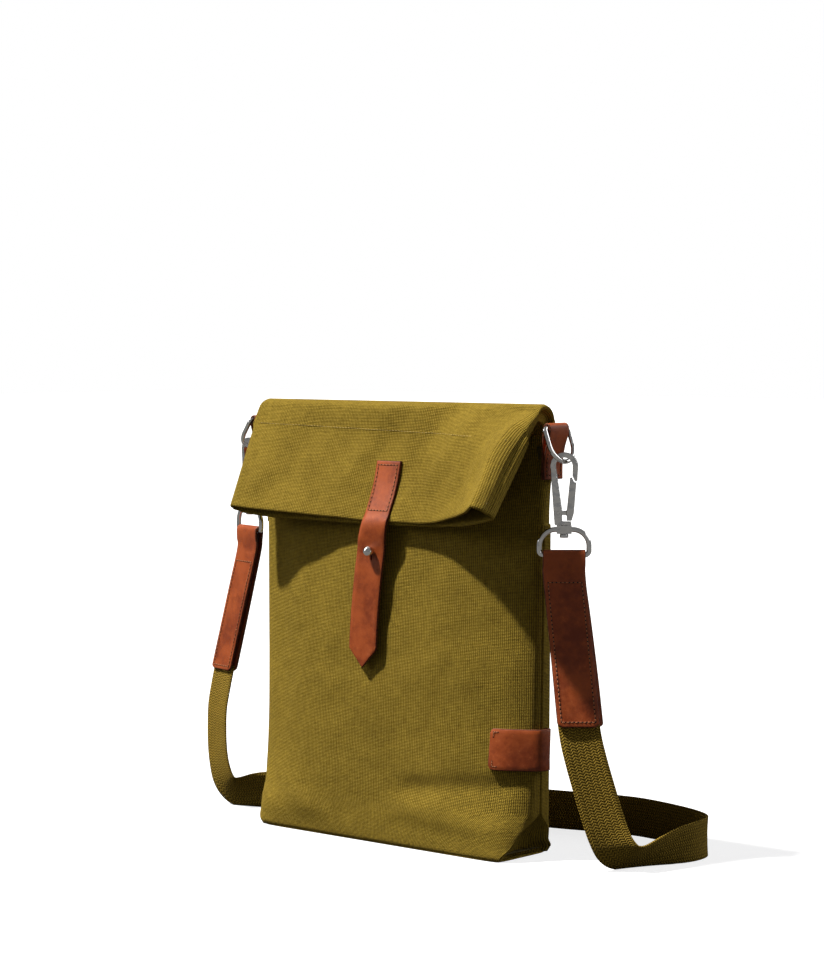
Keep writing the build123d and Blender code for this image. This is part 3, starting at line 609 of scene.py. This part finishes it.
def floor_panel():
    """The bag's flat base, a little puckered, with rounded corners."""
    points = np.zeros((21, 61, 3))
    for i, b in enumerate(np.linspace(-1, 1, 21)):
        for j, a in enumerate(np.linspace(-1, 1, 61)):
            x = a * (119.0 - 2.5 * abs(b) ** 10)
            y = b * (29.5 - 1.6 * abs(a) ** 20)
            lift = 0.6 * (noise.noise(Vector((x / 30, y / 20, 3.0))) + 0.6) * (1 - max(abs(a), abs(b)) ** 8)
            points[i, j] = (x, y, max(0.15, lift))
    return points


cloth_piece("base", [cloth_grid(floor_panel())], "bag", canvas, ("base_panel",), thickness=1.0,
            offset=1.0, even=True)


# ------------------------------------------------------------------ the folded top
FOLD_Y = -1.0
FOLD_Z = 323.0
FOLD_R = 11.0
TUBE_HALF = 137.0       # where the outer and inner layers turn into the side strips
TUBE_COLUMNS = 129      # across each layer
HEM = 2.6               # how far the turned-in cloth at the mouth stands from the face
FACING_IN = 0.95        # the facing lies just inside the cloth's thickness
# Stations across the flap: x, then (y, z) at the middle and mouth of the outer layer, and of
# the inner layer.
FLAP_STATIONS = [
    (-141.5, (-22, 298), (-41.5, 253), (-20.2, 297), (-38.5, 250.5)),
    (-134, (-25, 296), (-45, 252), (-17, 293), (-34.5, 246)),
    (-100, (-22, 298), (-41, 250), (-14, 294), (-31, 243.5)),
    (-50, (-17.5, 300), (-34.5, 247.5), (-13, 295), (-28.6, 242.8)),
    (0, (-15, 300), (-31.5, 245.5), (-12, 296), (-27.6, 242.4)),
    (45, (-18.5, 301), (-33, 246), (-12.6, 295), (-28.4, 243)),
    (85, (-25, 303), (-43, 252), (-15.5, 294), (-34, 245)),
    (115, (-33, 305), (-60, 258), (-21, 293), (-46, 249)),
    (137, (-42, 306.5), (-78, 264.5), (-27, 292), (-57, 253)),
]


def station(x):
    """The flap's middle and mouth points at one place across it."""
    table = np.array([[s[0], *s[1], *s[2], *s[3], *s[4]] for s in FLAP_STATIONS])
    found = blend_rows(table[:, 0], table[:, 1:][:, None, :], [x])[0, 0]
    return found.reshape(4, 2)


def outer_path(x, back_y):
    """The outer layer's line, from the back wall over the roll and down to the mouth."""
    middle, mouth = station(x)[:2]
    roll = [(FOLD_Y + FOLD_R * cos(radians(a)), FOLD_Z + FOLD_R * sin(radians(a)))
            for a in (10, 38, 66, 94, 122)]
    return [(back_y, BACK_TOP), *roll, (-10.9, 327.0), tuple(middle), tuple(mouth)]


def inner_path(x, front_y):
    """The inner layer's line, from the front wall out and down to the mouth."""
    middle, mouth = station(x)[2:]
    return [(front_y, 311.5), (front_y + 0.6, 317), (-4.6, 321.5), (-8.6, 319.5),
            (-12.0, 313.5) if x < 60 else (-12.0 - (x - 60) * 0.02, 313.5), tuple(middle), tuple(mouth)]


ROLL_ROWS = 22
FLAP_ROWS = 44
FLAP_LENGTH = 80        # from the fold to the mouth, about
# Folds of the outer layer, as places across and down the flap: from, to, width and height.
FLAP_RIDGES = [((-32, 49.6), (6, 4.8), 9, 1.7), ((26, 49.6), (62, 3.2), 9, -1.8),
               ((52, 52.8), (92, 8.0), 8, 1.6), ((84, 64.0), (120, 12.8), 8, -1.6),
               ((-96, 56.0), (-64, 9.6), 12, -1.2)]


def path_rows(path, rolled):
    """Rows along a path: ROLL_ROWS over its first points, and FLAP_ROWS down to the mouth."""
    path = np.array(path, float)
    fine = catmull(path, 400)
    turn = int(np.argmin(np.linalg.norm(fine - path[rolled], axis=1)))
    upper = catmull(fine[:turn + 1], ROLL_ROWS, fine_already=True)
    lower = catmull(fine[turn:], FLAP_ROWS, fine_already=True)
    return np.vstack([upper[:-1], lower])


def flap_folds(x, s, layer):
    """How far the flap's cloth stands out of its smooth shape; s is 0 at the fold, 1 at the mouth."""
    down = s * FLAP_LENGTH
    out = crumple(x, down, (40, 20.0 + layer, 1.15), (17, 30.0 + layer, 0.5), (8, 50.0 + layer, 0.14))
    if layer:
        return out * 0.6
    for fold in FLAP_RIDGES:
        out = out + ridge(x, down, *fold)
    return out


def tube_side(side, outer_end, inner_end, narrow, bulge):
    """The cloth between the layers at one side: tucked in at the roll, and standing out lower down."""
    strip = []
    for t in np.linspace(0, 1, 15)[1:-1]:
        swell = 1 - abs(2 * t - 1) ** 3.2
        reach = TUBE_HALF + bulge * 0.2 * swell
        if bulge > 0:
            reach += 4.2 * swell
        else:
            reach += 8.0 * swell * (1 - t) + bulge * swell * (1 - abs(2 * t - 1))
        if side > 0:
            reach -= narrow * (1 - t) ** 2 + 1.3 * exp(-((t - 0.46) / 0.05) ** 2)
        else:
            reach -= 0.4 * exp(-((t - 0.5) / 0.06) ** 2)
        strip.append((side * reach, *(outer_end * (1 - t) + inner_end * t)))
    return strip


def flap_tube():
    """The flattened tube of cloth, as a closed grid: rows run from the fold to the mouth."""
    xs = np.linspace(-TUBE_HALF, TUBE_HALF, TUBE_COLUMNS)
    outer, inner = [], []
    for x in xs:
        back_y, front_y = [float(np.interp(x, wall[-1, :, 0], wall[-1, :, 1]))
                           for wall in (back_wall, front_wall)]
        outer.append(path_rows(outer_path(x, back_y), 6))
        inner.append(path_rows(inner_path(x, front_y), 4))
    outer = np.array(outer).transpose(1, 0, 2)
    inner = np.array(inner).transpose(1, 0, 2)
    rows = outer.shape[0]
    s = np.clip((np.arange(rows) - ROLL_ROWS * 0.6) / (rows - ROLL_ROWS * 0.6), 0, 1)
    narrow = 9.5 * smoothstep(0.02, 0.34, s) * (1 - 0.55 * smoothstep(0.55, 1.0, s))
    bulge = -4.0 + 7.0 * smoothstep(0.05, 0.45, s)
    drawn_in = smoothstep(60, TUBE_HALF, xs)
    grid = []
    for i in range(rows):
        right, left = [tube_side(side, outer[i, k], inner[i, k], narrow[i], bulge[i])
                       for side, k in ((1, -1), (-1, 0))]
        outer_row = [(x - narrow[i] * part, *place) for x, part, place in zip(xs, drawn_in, outer[i])]
        inner_row = [(x, *place) for x, place in zip(xs, inner[i])]
        grid.append(outer_row + right + inner_row[::-1] + left[::-1] + [outer_row[0]])
    points = np.array(grid)
    for first, layer, side in ((0, 0, -1), (TUBE_COLUMNS + len(right), 1, 1)):
        part = points[:, first:first + TUBE_COLUMNS]
        x = part[..., 0]
        down = np.broadcast_to(s[:, None], x.shape)
        push = side * flap_folds(x, down, layer) * (1 - smoothstep(124, 137, np.abs(x)))
        push *= smoothstep(0.0, 0.14, down) * (1 - 0.5 * smoothstep(0.85, 1.0, down))
        part[..., 1] += push * 0.86
        part[..., 2] -= push * 0.45
    points[:, -1] = points[:, 0]
    return points


def grid_normals(points):
    """Outward directions of the tube's points; a point on its front faces -Y."""
    along = np.gradient(points, axis=0)
    around = np.roll(points, -1, axis=1) - np.roll(points, 1, axis=1)
    around[:, 0] = points[:, 1] - points[:, -2]
    around[:, -1] = around[:, 0]
    normal = unit(np.cross(around, along))
    return normal if normal[40, 64, 1] < 0 else -normal


def hemmed_mouth(points, normals):
    """Rows that turn the cloth in at the mouth and lay it back up inside the tube."""
    turned = []
    down = unit(points[-1] - points[-3])
    for angle in (35, 70, 110, 145, 180):
        a = radians(angle)
        turned.append(points[-1] - normals[-1] * HEM / 2 * (1 - cos(a)) + down * HEM / 2 * sin(a))
    for i in range(2, 9):
        turned.append(points[-i] - normals[-i] * HEM)
    return np.array(turned)


tube = flap_tube()
outward = grid_normals(tube)
whole_top = cloth_grid(np.concatenate([tube, hemmed_mouth(tube, outward)]), -TUBE_HALF, 320)
facing_rows = np.array([tube[-i] - outward[-i] * FACING_IN for i in range(6, 28)])
flap = cloth_piece("folded_top", [whole_top], None, canvas,
                   ("flap_outer", "flap_inner", "top_fold"), thickness=0.8, weld=0.02)
facing = cloth_piece("mouth_facing_cloth", [cloth_grid(facing_rows)], None, facing_cloth,
                     ("mouth_facing",), thickness=0.3, weld=0.02)
for piece in (flap, facing):
    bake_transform(piece)


# ------------------------------------------------------------------ lining and pockets
def inset(wall, depth, narrow):
    """A wall's shape drawn in towards the seam's plane."""
    moved = wall.copy()
    reach = wall[..., 1] - SEAM_Y
    moved[..., 1] = SEAM_Y + np.sign(reach) * np.maximum(np.abs(reach) - depth, 0.3)
    moved[..., 0] *= narrow
    return moved


kept_rows = [i for i, z in enumerate(heights) if 4.0 <= z <= 306]
lining_front = inset(front_wall[kept_rows], 2.6, 0.972)
lining_back = inset(back_wall[kept_rows], 2.4, 0.972)
lining_floor = np.array([lining_front[0] * (1 - b) + lining_back[0] * b for b in np.linspace(0, 1, 12)])
cloth_piece("lining_bag", [cloth_grid(grid) for grid in (lining_front, lining_back, lining_floor)], "bag",
            lining_cloth, ("lining",), thickness=0.5, offset=0.0, weld=0.3)

pocket_rows = [i for i, z in enumerate(heights) if 130 <= z <= 262]
inside = back_wall[pocket_rows]
inside = inside[:, np.abs(inside[0, :, 0]) <= 72].copy()
sag = np.sin(np.linspace(0, pi, inside.shape[1])) * np.linspace(0.2, 1, len(pocket_rows))[:, None]
inside[..., 1] -= 3.8 + 1.6 * sag
cloth_piece("inner_pocket_cloth", [cloth_grid(inside)], "bag", lining_cloth,
            ("inner_pocket",), thickness=0.6, offset=0.0)

POCKET_TOP = 247.0
POCKET_SEAM = POCKET_TOP - 22           # height of the stitched line under the rear pocket's mouth
rear = back_wall[[i for i, z in enumerate(heights) if 3.5 <= z <= POCKET_TOP]].copy()
rear_x, rear_z = rear[..., 0].copy(), rear[..., 2].copy()
edge_fade = 1 - smoothstep(122, 139, np.abs(rear_x))
lifted = smoothstep(3, 26, rear_z)
rear[..., 1] += (0.3 + 1.5 * edge_fade) * lifted + 0.3 + 1.3 * edge_fade * smoothstep(60, 235, rear_z)
rear[..., 1] += crumple(rear_x, rear_z, (52, 14.0, 0.9)) * edge_fade * lifted
rear[..., 1] -= 0.5 * np.exp(-((rear_z - POCKET_SEAM) / 1.4) ** 2)
turn_in = [rear[-1] + np.array([0, -1.3 * (1 - cos(a)), 1.2 * sin(a)]) for a in (0.7, 1.57, 2.4)]
turn_in += [rear[-k] - np.array([0, 2.6, 0]) for k in range(2, 5)]
cloth_piece("rear_pocket_cloth", [cloth_grid(np.concatenate([rear, np.array(turn_in)]))], "bag", canvas,
            ("rear_pocket",), thickness=1.1, offset=0.0)


# ------------------------------------------------------------------ leather strips and stitching
EDGE = 0.5              # rounding of a cut leather edge
# A stitch from end to end: part of its half length, lift and radius as parts of the thread's radius.
STITCH = [(-1, -0.25, 0.35), (-0.8, 0.35, 0.8), (-0.3, 0.75, 1.0), (0.3, 0.75, 1.0), (0.8, 0.35, 0.8),
          (1, -0.25, 0.35)]


def rounded_ends(reach, half, radius, both=True):
    """Half widths along a strip whose corners are rounded at its start, or at both ends."""
    near = np.minimum(reach, reach[-1] - reach) if both else reach
    inside = radius - np.minimum(near, radius)
    return half - (radius - np.sqrt(np.maximum(radius ** 2 - inside ** 2, 0.02)))


class Strip:
    """A flat strip along a line, with a width direction and a half width at each of its points."""

    def __init__(self, line, across, half, thick):
        self.line = np.asarray(line, float)
        self.across = unit(np.broadcast_to(np.asarray(across, float), self.line.shape))
        self.along = unit(np.gradient(self.line, axis=0))
        self.normal = unit(np.cross(self.across, self.along))
        self.half = np.broadcast_to(half, (len(self.line),))
        self.thick = thick
        self.reach = reach_along(self.line)

    def ring(self):
        """The cross-section: part of the flat half width, millimetres beyond it, part of the thickness."""
        top = [(-1 + k / 4, 0.0, 1.0) for k in range(9)]
        right = [(1, 0.62 * EDGE, 0.80), (1, EDGE, 0.3), (1, EDGE, -0.3), (1, 0.62 * EDGE, -0.80)]
        ring = top + right + [(-p, -e, -q) for p, e, q in top]
        return ring + [(-p, -e, -q) for p, e, q in right]

    def at(self, reach, aside, face=1.0):
        """A point on the strip's face: how far along, how far aside, and which side."""
        middle, across, normal = [sample(reach, self.reach, part)
                                  for part in (self.line, self.across, self.normal)]
        return middle + across * aside + normal * face * self.thick / 2, normal * face

    def mesh(self, name):
        """The strip's mesh: its faces in the first material, its edges in the second."""
        ring = self.ring()
        bm = bmesh.new()
        count = len(self.line)
        ends = [(0, -EDGE, 0.3), (0, -0.62 * EDGE, 0.8)] + [(i, 0.0, 1.0) for i in range(count)]
        ends += [(count - 1, 0.62 * EDGE, 0.8), (count - 1, EDGE, 0.3)]
        rows = []
        for i, push, flat in ends:
            row = []
            for p, beyond, q in ring:
                across = p * max(self.half[i] - EDGE, 0.05) + beyond * min(1, self.half[i])
                place = (self.line[i] + self.along[i] * push + self.across[i] * across
                         + self.normal[i] * q * flat * self.thick / 2)
                row.append(bm.verts.new(place * MM))
            rows.append(row)
        size = len(ring)
        for k in range(len(rows) - 1):
            for j in range(size):
                n = (j + 1) % size
                face = bm.faces.new([rows[k][j], rows[k][n], rows[k + 1][n], rows[k + 1][j]])
                on_face = (j < 8 or 13 <= j < 21) and 1 < k < len(rows) - 3
                face.material_index = 0 if on_face else 1
        for row in (rows[0], rows[-1]):
            for j in range(8):
                bm.faces.new([row[j], row[j + 1], row[20 - j], row[21 - j]]).material_index = 1
            bm.faces.new(row[8:14]).material_index = 1
            bm.faces.new([row[21], *row[22:26], row[0]]).material_index = 1
        bmesh.ops.recalc_face_normals(bm, faces=bm.faces)
        return finished_mesh(name, bm)

    def piece(self, name, body):
        """The strip as a piece of leather."""
        made = new_object(name, self.mesh(name), body, leather)
        made.data.materials.append(leather_edge)
        return made

    def run(self, start, end, face=1.0):
        """A line of points and normals on the face, between two (reach, aside) places."""
        places = [self.at(start[0] + (end[0] - start[0]) * t, start[1] + (end[1] - start[1]) * t, face)
                  for t in np.linspace(0, 1, 40)]
        return np.array([p for p, _ in places]), np.array([n for _, n in places])

    def box(self, low, high, aside, face=1.0, shift=0.0):
        """The four runs of a stitched box."""
        corners = [(low, shift - aside), (high, shift - aside), (high, shift + aside), (low, shift + aside)]
        return [self.run(corners[k], corners[(k + 1) % 4], face) for k in range(4)]


def tapered(bm, rings, material_index):
    """Close a bar whose cross-sections are rings of vertices."""
    faces = [bm.faces.new(rings[0]), bm.faces.new(rings[-1][::-1])]
    for a, b in zip(rings, rings[1:]):
        for j in range(len(a)):
            n = (j + 1) % len(a)
            faces.append(bm.faces.new([a[j], a[n], b[n], b[j]]))
    for face in faces:
        face.material_index = material_index


def stitches(name, runs, body, thread, pitch=3.1, length=2.1, radius=0.34, holes=True):
    """Separate stitches that dip into holes at both ends, along runs of points and normals; each hole is a
    near-black plug of painted shade.
    """
    bm = bmesh.new()

    def loop(centre, first, second):
        return [bm.verts.new((centre + first * cos(a) + second * sin(a)) * MM)
                for a in np.linspace(0, 2 * pi, 6, endpoint=False)]

    for points, normals in runs:
        reach = reach_along(points)
        count = max(1, int(round(reach[-1] / pitch)))
        for k in range(count):
            middle = (k + 0.5) * reach[-1] / count
            centre = sample(middle, reach, points)
            along = unit(sample(middle + 0.5, reach, points) - sample(middle - 0.5, reach, points))
            normal = sample(middle, reach, normals)
            normal = unit(normal - along * normal.dot(along))
            aside = np.cross(normal, along)
            rings = []
            for t, lift, size in STITCH:
                place = centre + along * t * length / 2 + normal * lift * radius
                rings.append(loop(place, normal * radius * size, aside * radius * size))
            tapered(bm, rings, 0)
            # A near-black plug at each end of the stitch: painted shade where the thread goes into the hole.
            for end in (-1, 1) if holes else ():
                spot = centre + along * end * (length / 2 + 0.22)
                tapered(bm, [loop(spot - normal * 0.3, along * 0.45, aside * 0.42),
                             loop(spot + normal * 0.05, along * 0.60, aside * 0.54)], 1)
    bmesh.ops.recalc_face_normals(bm, faces=bm.faces)
    piece = new_object(name, finished_mesh(name, bm), body, thread)
    piece.data.materials.append(painted_hole_shade)
    return piece


# ------------------------------------------------------------------ closing strap
STRAP_MEET = 250.0      # the strap leaves the flap's cloth at this height
STRAP_POINTS = 120


def flap_face(x, z):
    """Y of the flap's outer layer at a place on its front."""
    column = int(round((x + TUBE_HALF) / (2 * TUBE_HALF) * (TUBE_COLUMNS - 1)))
    below = tube[ROLL_ROWS:, column]
    return float(np.interp(-z, -below[:, 2], below[:, 1]))


sewn = []
for z in np.linspace(289.0, STRAP_MEET, 8):
    x = 4.0 + (z - STRAP_MEET) * 0.047
    sewn.append((x, (flap_face(x - 9, z) + flap_face(x + 9, z)) / 2 - 1.25, z))
hanging = [(3.3, -34.6, 243.0), (0.6, -34.3, 232.0), (-1.2, -33.0, 222.0), (-3.8, -33.2, 205.0),
           (-6.8, -33.3, 180.0), (-8.6, -33.6, 155.0), (-9.4, -33.8, 133.6)]
strap_line = catmull(sewn + hanging, STRAP_POINTS)
strap_reach = reach_along(strap_line)
to_tip = strap_reach[-1] - strap_reach
strap_half = 12.2 + 0.8 * smoothstep(40, 70, strap_reach)
strap_half = np.minimum(strap_half, 0.4 + to_tip * 13.0 / 14.5)
cloth_turn = (flap_face(15, 265) - flap_face(-5, 265)) / 20
strap_turn = cloth_turn + (0.06 - cloth_turn) * smoothstep(40, 62, strap_reach)
strap_across = np.stack([np.ones(STRAP_POINTS), strap_turn, np.zeros(STRAP_POINTS)], axis=1)
closing = Strip(strap_line, strap_across, strap_half, 2.1)
closing_piece = closing.piece("closing_strap_leather", None)


def cut_slot(piece, centre, radius, drop):
    """Cut the stud's hole, with the slit under it, through a strip."""
    bm = bmesh.new()
    outline = [(radius * cos(a), radius * sin(a)) for a in np.linspace(-1.2, pi + 1.2, 22)]
    outline = [(-0.45, -drop), (0.45, -drop)] + outline
    ends = [[bm.verts.new((centre + Vector((x, y, z))) * MM) for x, z in outline] for y in (-8.0, 8.0)]
    tapered(bm, ends, 0)
    bmesh.ops.recalc_face_normals(bm, faces=bm.faces)
    cutter = bpy.data.objects.new("slot_cutter", finished_mesh("slot_cutter", bm))
    bpy.context.scene.collection.objects.link(cutter)
    modifier = piece.modifiers.new("slot", "BOOLEAN")
    modifier.operation = "DIFFERENCE"
    modifier.object = cutter
    modifier.solver = "EXACT"
    view = bpy.context.evaluated_depsgraph_get()
    cut = bpy.data.meshes.new_from_object(piece.evaluated_get(view))
    piece.modifiers.remove(modifier)
    piece.data = cut
    bpy.data.objects.remove(cutter)


cut_slot(closing_piece, Vector((0.0, -33.5, 222.0)), 2.4, 7.0)
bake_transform(closing_piece)
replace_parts(closing_piece, "strap_anchor", "closing_strap")
stitches("anchor_stitching", closing.box(2.8, 38.5, 9.6, -1.0), "flap", brown_thread)


# ------------------------------------------------------------------ label, blank
LABEL_POINTS = 60


def wall_path(z):
    """Points round the right seam at one height, from the label's left edge to the back."""
    front = front_wall[int(np.argmin(np.abs(np.array(heights) - z)))]
    back = back_wall[int(np.argmin(np.abs(np.array(back_heights) - z)))]
    front = front[(front[:, 0] >= 105.6) & (front[:, 0] <= 130)][::4]
    back = back[(back[:, 0] >= 133.5) & (back[:, 0] <= 136)][::-1][:2]
    middle = [(136.4, -6.6, z), (139.0, -2.0, z), (139.4, 2.6, z)]
    return catmull(np.concatenate([front, middle, back])[:, :2], LABEL_POINTS)


label_low, label_high = wall_path(67.5), wall_path(97.5)
column = np.ones((LABEL_POINTS, 1))
label_line = np.concatenate([(label_low + label_high) / 2, column * 82.0], axis=1)
label_across = np.concatenate([label_high - label_low, column * 30.0], axis=1)
outwards = unit(np.cross(np.gradient(label_line, axis=0), UP))
for _ in range(6):
    outwards[1:-1] = (outwards[:-2] + outwards[1:-1] + outwards[2:]) / 3
label_line = catmull(label_line + unit(outwards) * 1.5, LABEL_POINTS, fine_already=True)
label_half = rounded_ends(reach_along(label_line), 15.3, 3.0, both=False)
label = Strip(label_line, label_across, label_half, 1.7)
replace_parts(label.piece("label_leather", "bag"), "leather_label")
label_runs = [label.run((2.6, sign * first), (last_reach, sign * last), -1.0)
              for first, last_reach, last in ((9.0, 2.6, 12.4), (12.6, 6.0, 12.6)) for sign in (-1, 1)]
stitches("label_stitching", label_runs, "bag", brown_thread, pitch=2.2, length=1.6)


# ------------------------------------------------------------------ D-ring tabs
TAB_PATH = [(144.4, 280.0), (144.6, 292.0), (146.6, 303.0), (149.6, 312.0), (150.0, 317.0), (149.2, 319.0),
            (147.3, 319.9), (145.4, 319.0), (144.5, 316.6), (143.4, 306.0), (142.8, 294.0), (142.8, 280.0)]
DEE_Y = {"right": 1.8, "left": 1.0}
for side, sign in (("right", 1), ("left", -1)):
    path = catmull([(sign * x, DEE_Y[side], z) for x, z in TAB_PATH], 90)
    tab = Strip(path, (0, sign, 0), 11.0, 1.45)
    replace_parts(tab.piece(f"{side}_dee_tab_leather", "bag"), f"{side}_dee_tab")
    face = 1.0 if tab.normal[10, 0] * sign > 0 else -1.0
    stitches(f"{side}_tab_stitching", tab.box(2.6, 18.0, 8.2, face), "bag", brown_thread)


# ------------------------------------------------------------------ leather ends of the shoulder strap
END_FOLD = 16.0
# For each side: the ring's bar, its heading in degrees, the lean, the sideways shift of the
# lower end, how far the back layer stands out past the front one, and the length.
STRAP_ENDS = {"right": ((156.0, 0.3, 225.42), 41.0, 25.0, 9.5, 2.6, 124.0),
              "left": ((-161.5, 0.5, 228.18), -16.0, 6.0, -34.0, 2.2, 115.0)}


def end_strip(bar, turn, lean, sway, stagger, length):
    """Leather folded round the ring's bar: up the front layer, over the bar, down the back."""
    width = np.array([cos(radians(turn)), sin(radians(turn)), 0])
    facing = np.array([width[1], -width[0], 0])
    along = facing * lean - np.array([0, 0, (length ** 2 - lean ** 2) ** 0.5])
    up = -along / np.linalg.norm(along)
    out = np.cross(up, width)
    back = [(1.95, -length), (1.95, -90), (1.95, -50), (1.95, -END_FOLD), (2.6, -7), (2.95, 0), (2.1, 2.1)]
    path = [(-z, y) for z, y in back] + [(0, 2.95)] + back[::-1]
    points = []
    for z, y in path:
        below = max(-y - END_FOLD, 0) / (length - END_FOLD)
        late = stagger * float(smoothstep(0, 1, below)) ** 0.5 if z > 0 else 0.0
        points.append(np.array(bar) + width * (sway * below + late) + up * y + out * z)
    line = catmull(points, 190)
    return Strip(line, width, rounded_ends(reach_along(line), 15.4, 3.2), 1.75)


for side, frame_at in STRAP_ENDS.items():
    end = end_strip(*frame_at)
    end_piece = end.piece(f"{side}_strap_end_leather", f"{side}_strap")
    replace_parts(end_piece, f"{side}_strap_end", f"{side}_webbing_end")
    total = end.reach[-1]
    face = 1.0 if end.normal[10].dot(np.array([0.66, -0.75, 0])) > 0 else -1.0
    sewn_part = frame_at[-1] - 20.0
    runs = end.box(3.2, sewn_part, 12.2, face) + end.box(total - sewn_part, total - 3.2, 12.2, face)
    thread_piece = stitches(f"{side}_end_stitching", runs, f"{side}_strap", brown_thread)
    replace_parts(thread_piece, f"{side}_strap_end_thread")


# ------------------------------------------------------------------ hooks
CAST_GRAIN = 0.35
CAST_ROUNDS = 5


def cast_piece(node, body):
    """A casting with its edges rounded, made from a CAD node's shape."""
    rough = bpy.data.objects.new(node + "_rough", frame["nodes"][node].data.copy())
    bpy.context.scene.collection.objects.link(rough)
    remesh = rough.modifiers.new("grain", "REMESH")
    remesh.mode = "VOXEL"
    remesh.voxel_size = CAST_GRAIN * MM
    soften = rough.modifiers.new("soften", "SMOOTH")
    soften.iterations = CAST_ROUNDS
    soften.factor = 0.6
    mesh = bpy.data.meshes.new_from_object(rough.evaluated_get(bpy.context.evaluated_depsgraph_get()))
    bpy.data.objects.remove(rough)
    mesh.materials.clear()
    piece = new_object(node + "_cast", mesh, body, steel)
    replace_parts(piece, node)


for side in ("right", "left"):
    cast_piece(f"{side}_hook_body", f"{side}_hook")
    cast_piece(f"{side}_hook_gate", f"{side}_gate")


# ------------------------------------------------------------------ stitching in the cloth
def flap_seam():
    """The stitched line across the flap, a little under the fold."""
    line = [(x, 315.0 - 6.0 * (x + 133) / 266) for x in np.linspace(-133, 133, 140)]
    points = np.array([(x, flap_face(x, z) - 0.05, z) for x, z in line])
    return points, np.broadcast_to([0, -0.92, 0.4], points.shape)


def pocket_hem():
    """The stitched line under the rear pocket's mouth."""
    row = int(np.argmin(np.abs(rear[:, 0, 2] - POCKET_SEAM)))
    line = rear[row][np.abs(rear[row, :, 0]) < 134] + np.array([0, 0.75, 0])
    return line, np.broadcast_to([0, 1.0, 0], line.shape)


seam_piece = stitches("flap_seam_stitching", [flap_seam()], None, olive_thread, 3.0, 2.3, 0.28, False)
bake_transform(seam_piece)
stitches("pocket_hem_stitching", [pocket_hem()], "bag", olive_thread, 3.2, 2.4, 0.3, False)


# ------------------------------------------------------------------ studio
FLOOR_BOUNCE = (0.055, 0.054, 0.05)     # how much of the light the floor gives back to the bag
FLOOR_GLOW = (0.78, 0.78, 0.785)        # keeps the floor pale inside shadows
FLOOR_GLOSS = 0.16      # part of that glow which polished metal sees
ROOM_LEVEL = 0.095
GLOSS_LEVEL = 0.10      # what polished metal sees of the room besides that level and the softboxes
# Softboxes: direction from the bag, half angle in degrees, radiance.
SOFTBOXES = [((-0.64, -0.66, 0.42), 17, 3.0), ((0.6, 0.8, 0.5), 20, 3.0), ((0.95, 0.1, 0.3), 12, 1.6)]
KEY = {"towards": (0.325, 0.39, -0.86), "strength": 6.8, "angle": 3.0, "colour": (1.0, 0.97, 0.92)}


def studio_floor():
    """A large pale floor that is not part of the object."""
    bm = bmesh.new()
    bmesh.ops.create_grid(bm, x_segments=2, y_segments=2, size=12)
    s = Shader(bpy.data.materials.new("studio floor"))
    speckle = s.ramp(s.noise(3.0, 2.0), (0.3, 0.0), (0.7, 1.0))
    rays = s.node("ShaderNodeLightPath").outputs
    seen = rays["Is Camera Ray"]
    paint = s.mix(speckle, (0.38, 0.38, 0.385), (0.40, 0.40, 0.40))
    glow = s.math("MAXIMUM", seen, s.math("MULTIPLY", rays["Is Glossy Ray"], FLOOR_GLOSS))
    material = s.finish(Base_Color=s.mix(seen, FLOOR_BOUNCE, paint), Roughness=0.8, Specular_IOR_Level=0.0,
                        Emission_Color=s.mix(glow, (0, 0, 0), FLOOR_GLOW), Emission_Strength=1.0)
    new_object("floor", finished_mesh("floor", bm), None, material)


def sun(name, towards, strength, angle, colour):
    """A distant lamp that shines along a direction."""
    lamp = bpy.data.lights.new(name, "SUN")
    lamp.energy = strength
    lamp.angle = radians(angle)
    lamp.color = colour
    holder = bpy.data.objects.new(name, lamp)
    holder.rotation_euler = Vector(towards).to_track_quat("-Z", "Y").to_euler()
    bpy.context.scene.collection.objects.link(holder)


def studio_world():
    """A white backdrop for the camera, and a dim room with softboxes for everything else."""
    s = Shader(bpy.data.worlds.new("studio"), "Background")
    level = ROOM_LEVEL
    for towards, width, strength in SOFTBOXES:
        dot = s.node("ShaderNodeVectorMath", operation="DOT_PRODUCT")
        s.wire(s.coordinates["Generated"], dot.inputs[0])
        s.wire(Vector(towards).normalized(), dot.inputs[1])
        rim, full = cos(radians(width)), cos(radians(width * 0.8))
        level = s.math("ADD", s.ramp(dot.outputs["Value"], (rim, 0.0), (full, strength)), level)
    rays = s.node("ShaderNodeLightPath").outputs
    room = s.math("MULTIPLY_ADD", rays["Is Glossy Ray"], GLOSS_LEVEL, level)
    strength = s.mix(rays["Is Camera Ray"], room, 1.0, "FLOAT")
    bpy.context.scene.world = s.finish(Color=(1, 1, 1), Strength=strength)


studio_floor()
sun("key", **KEY)
studio_world()
bpy.context.scene.view_settings.view_transform = "Standard"

MATERIALS = {"canvas": canvas, "facing": facing_cloth, "lining_cloth": lining_cloth, "leather": leather,
             "steel": steel, "webbing": webbing, "thread": brown_thread}
for name, node in frame["nodes"].items():
    kind = next(entry["material_slot"] for entry in frame["record"]["subparts"] if entry["node"] == name)
    node.data.materials.clear()
    node.data.materials.append(MATERIALS[kind])
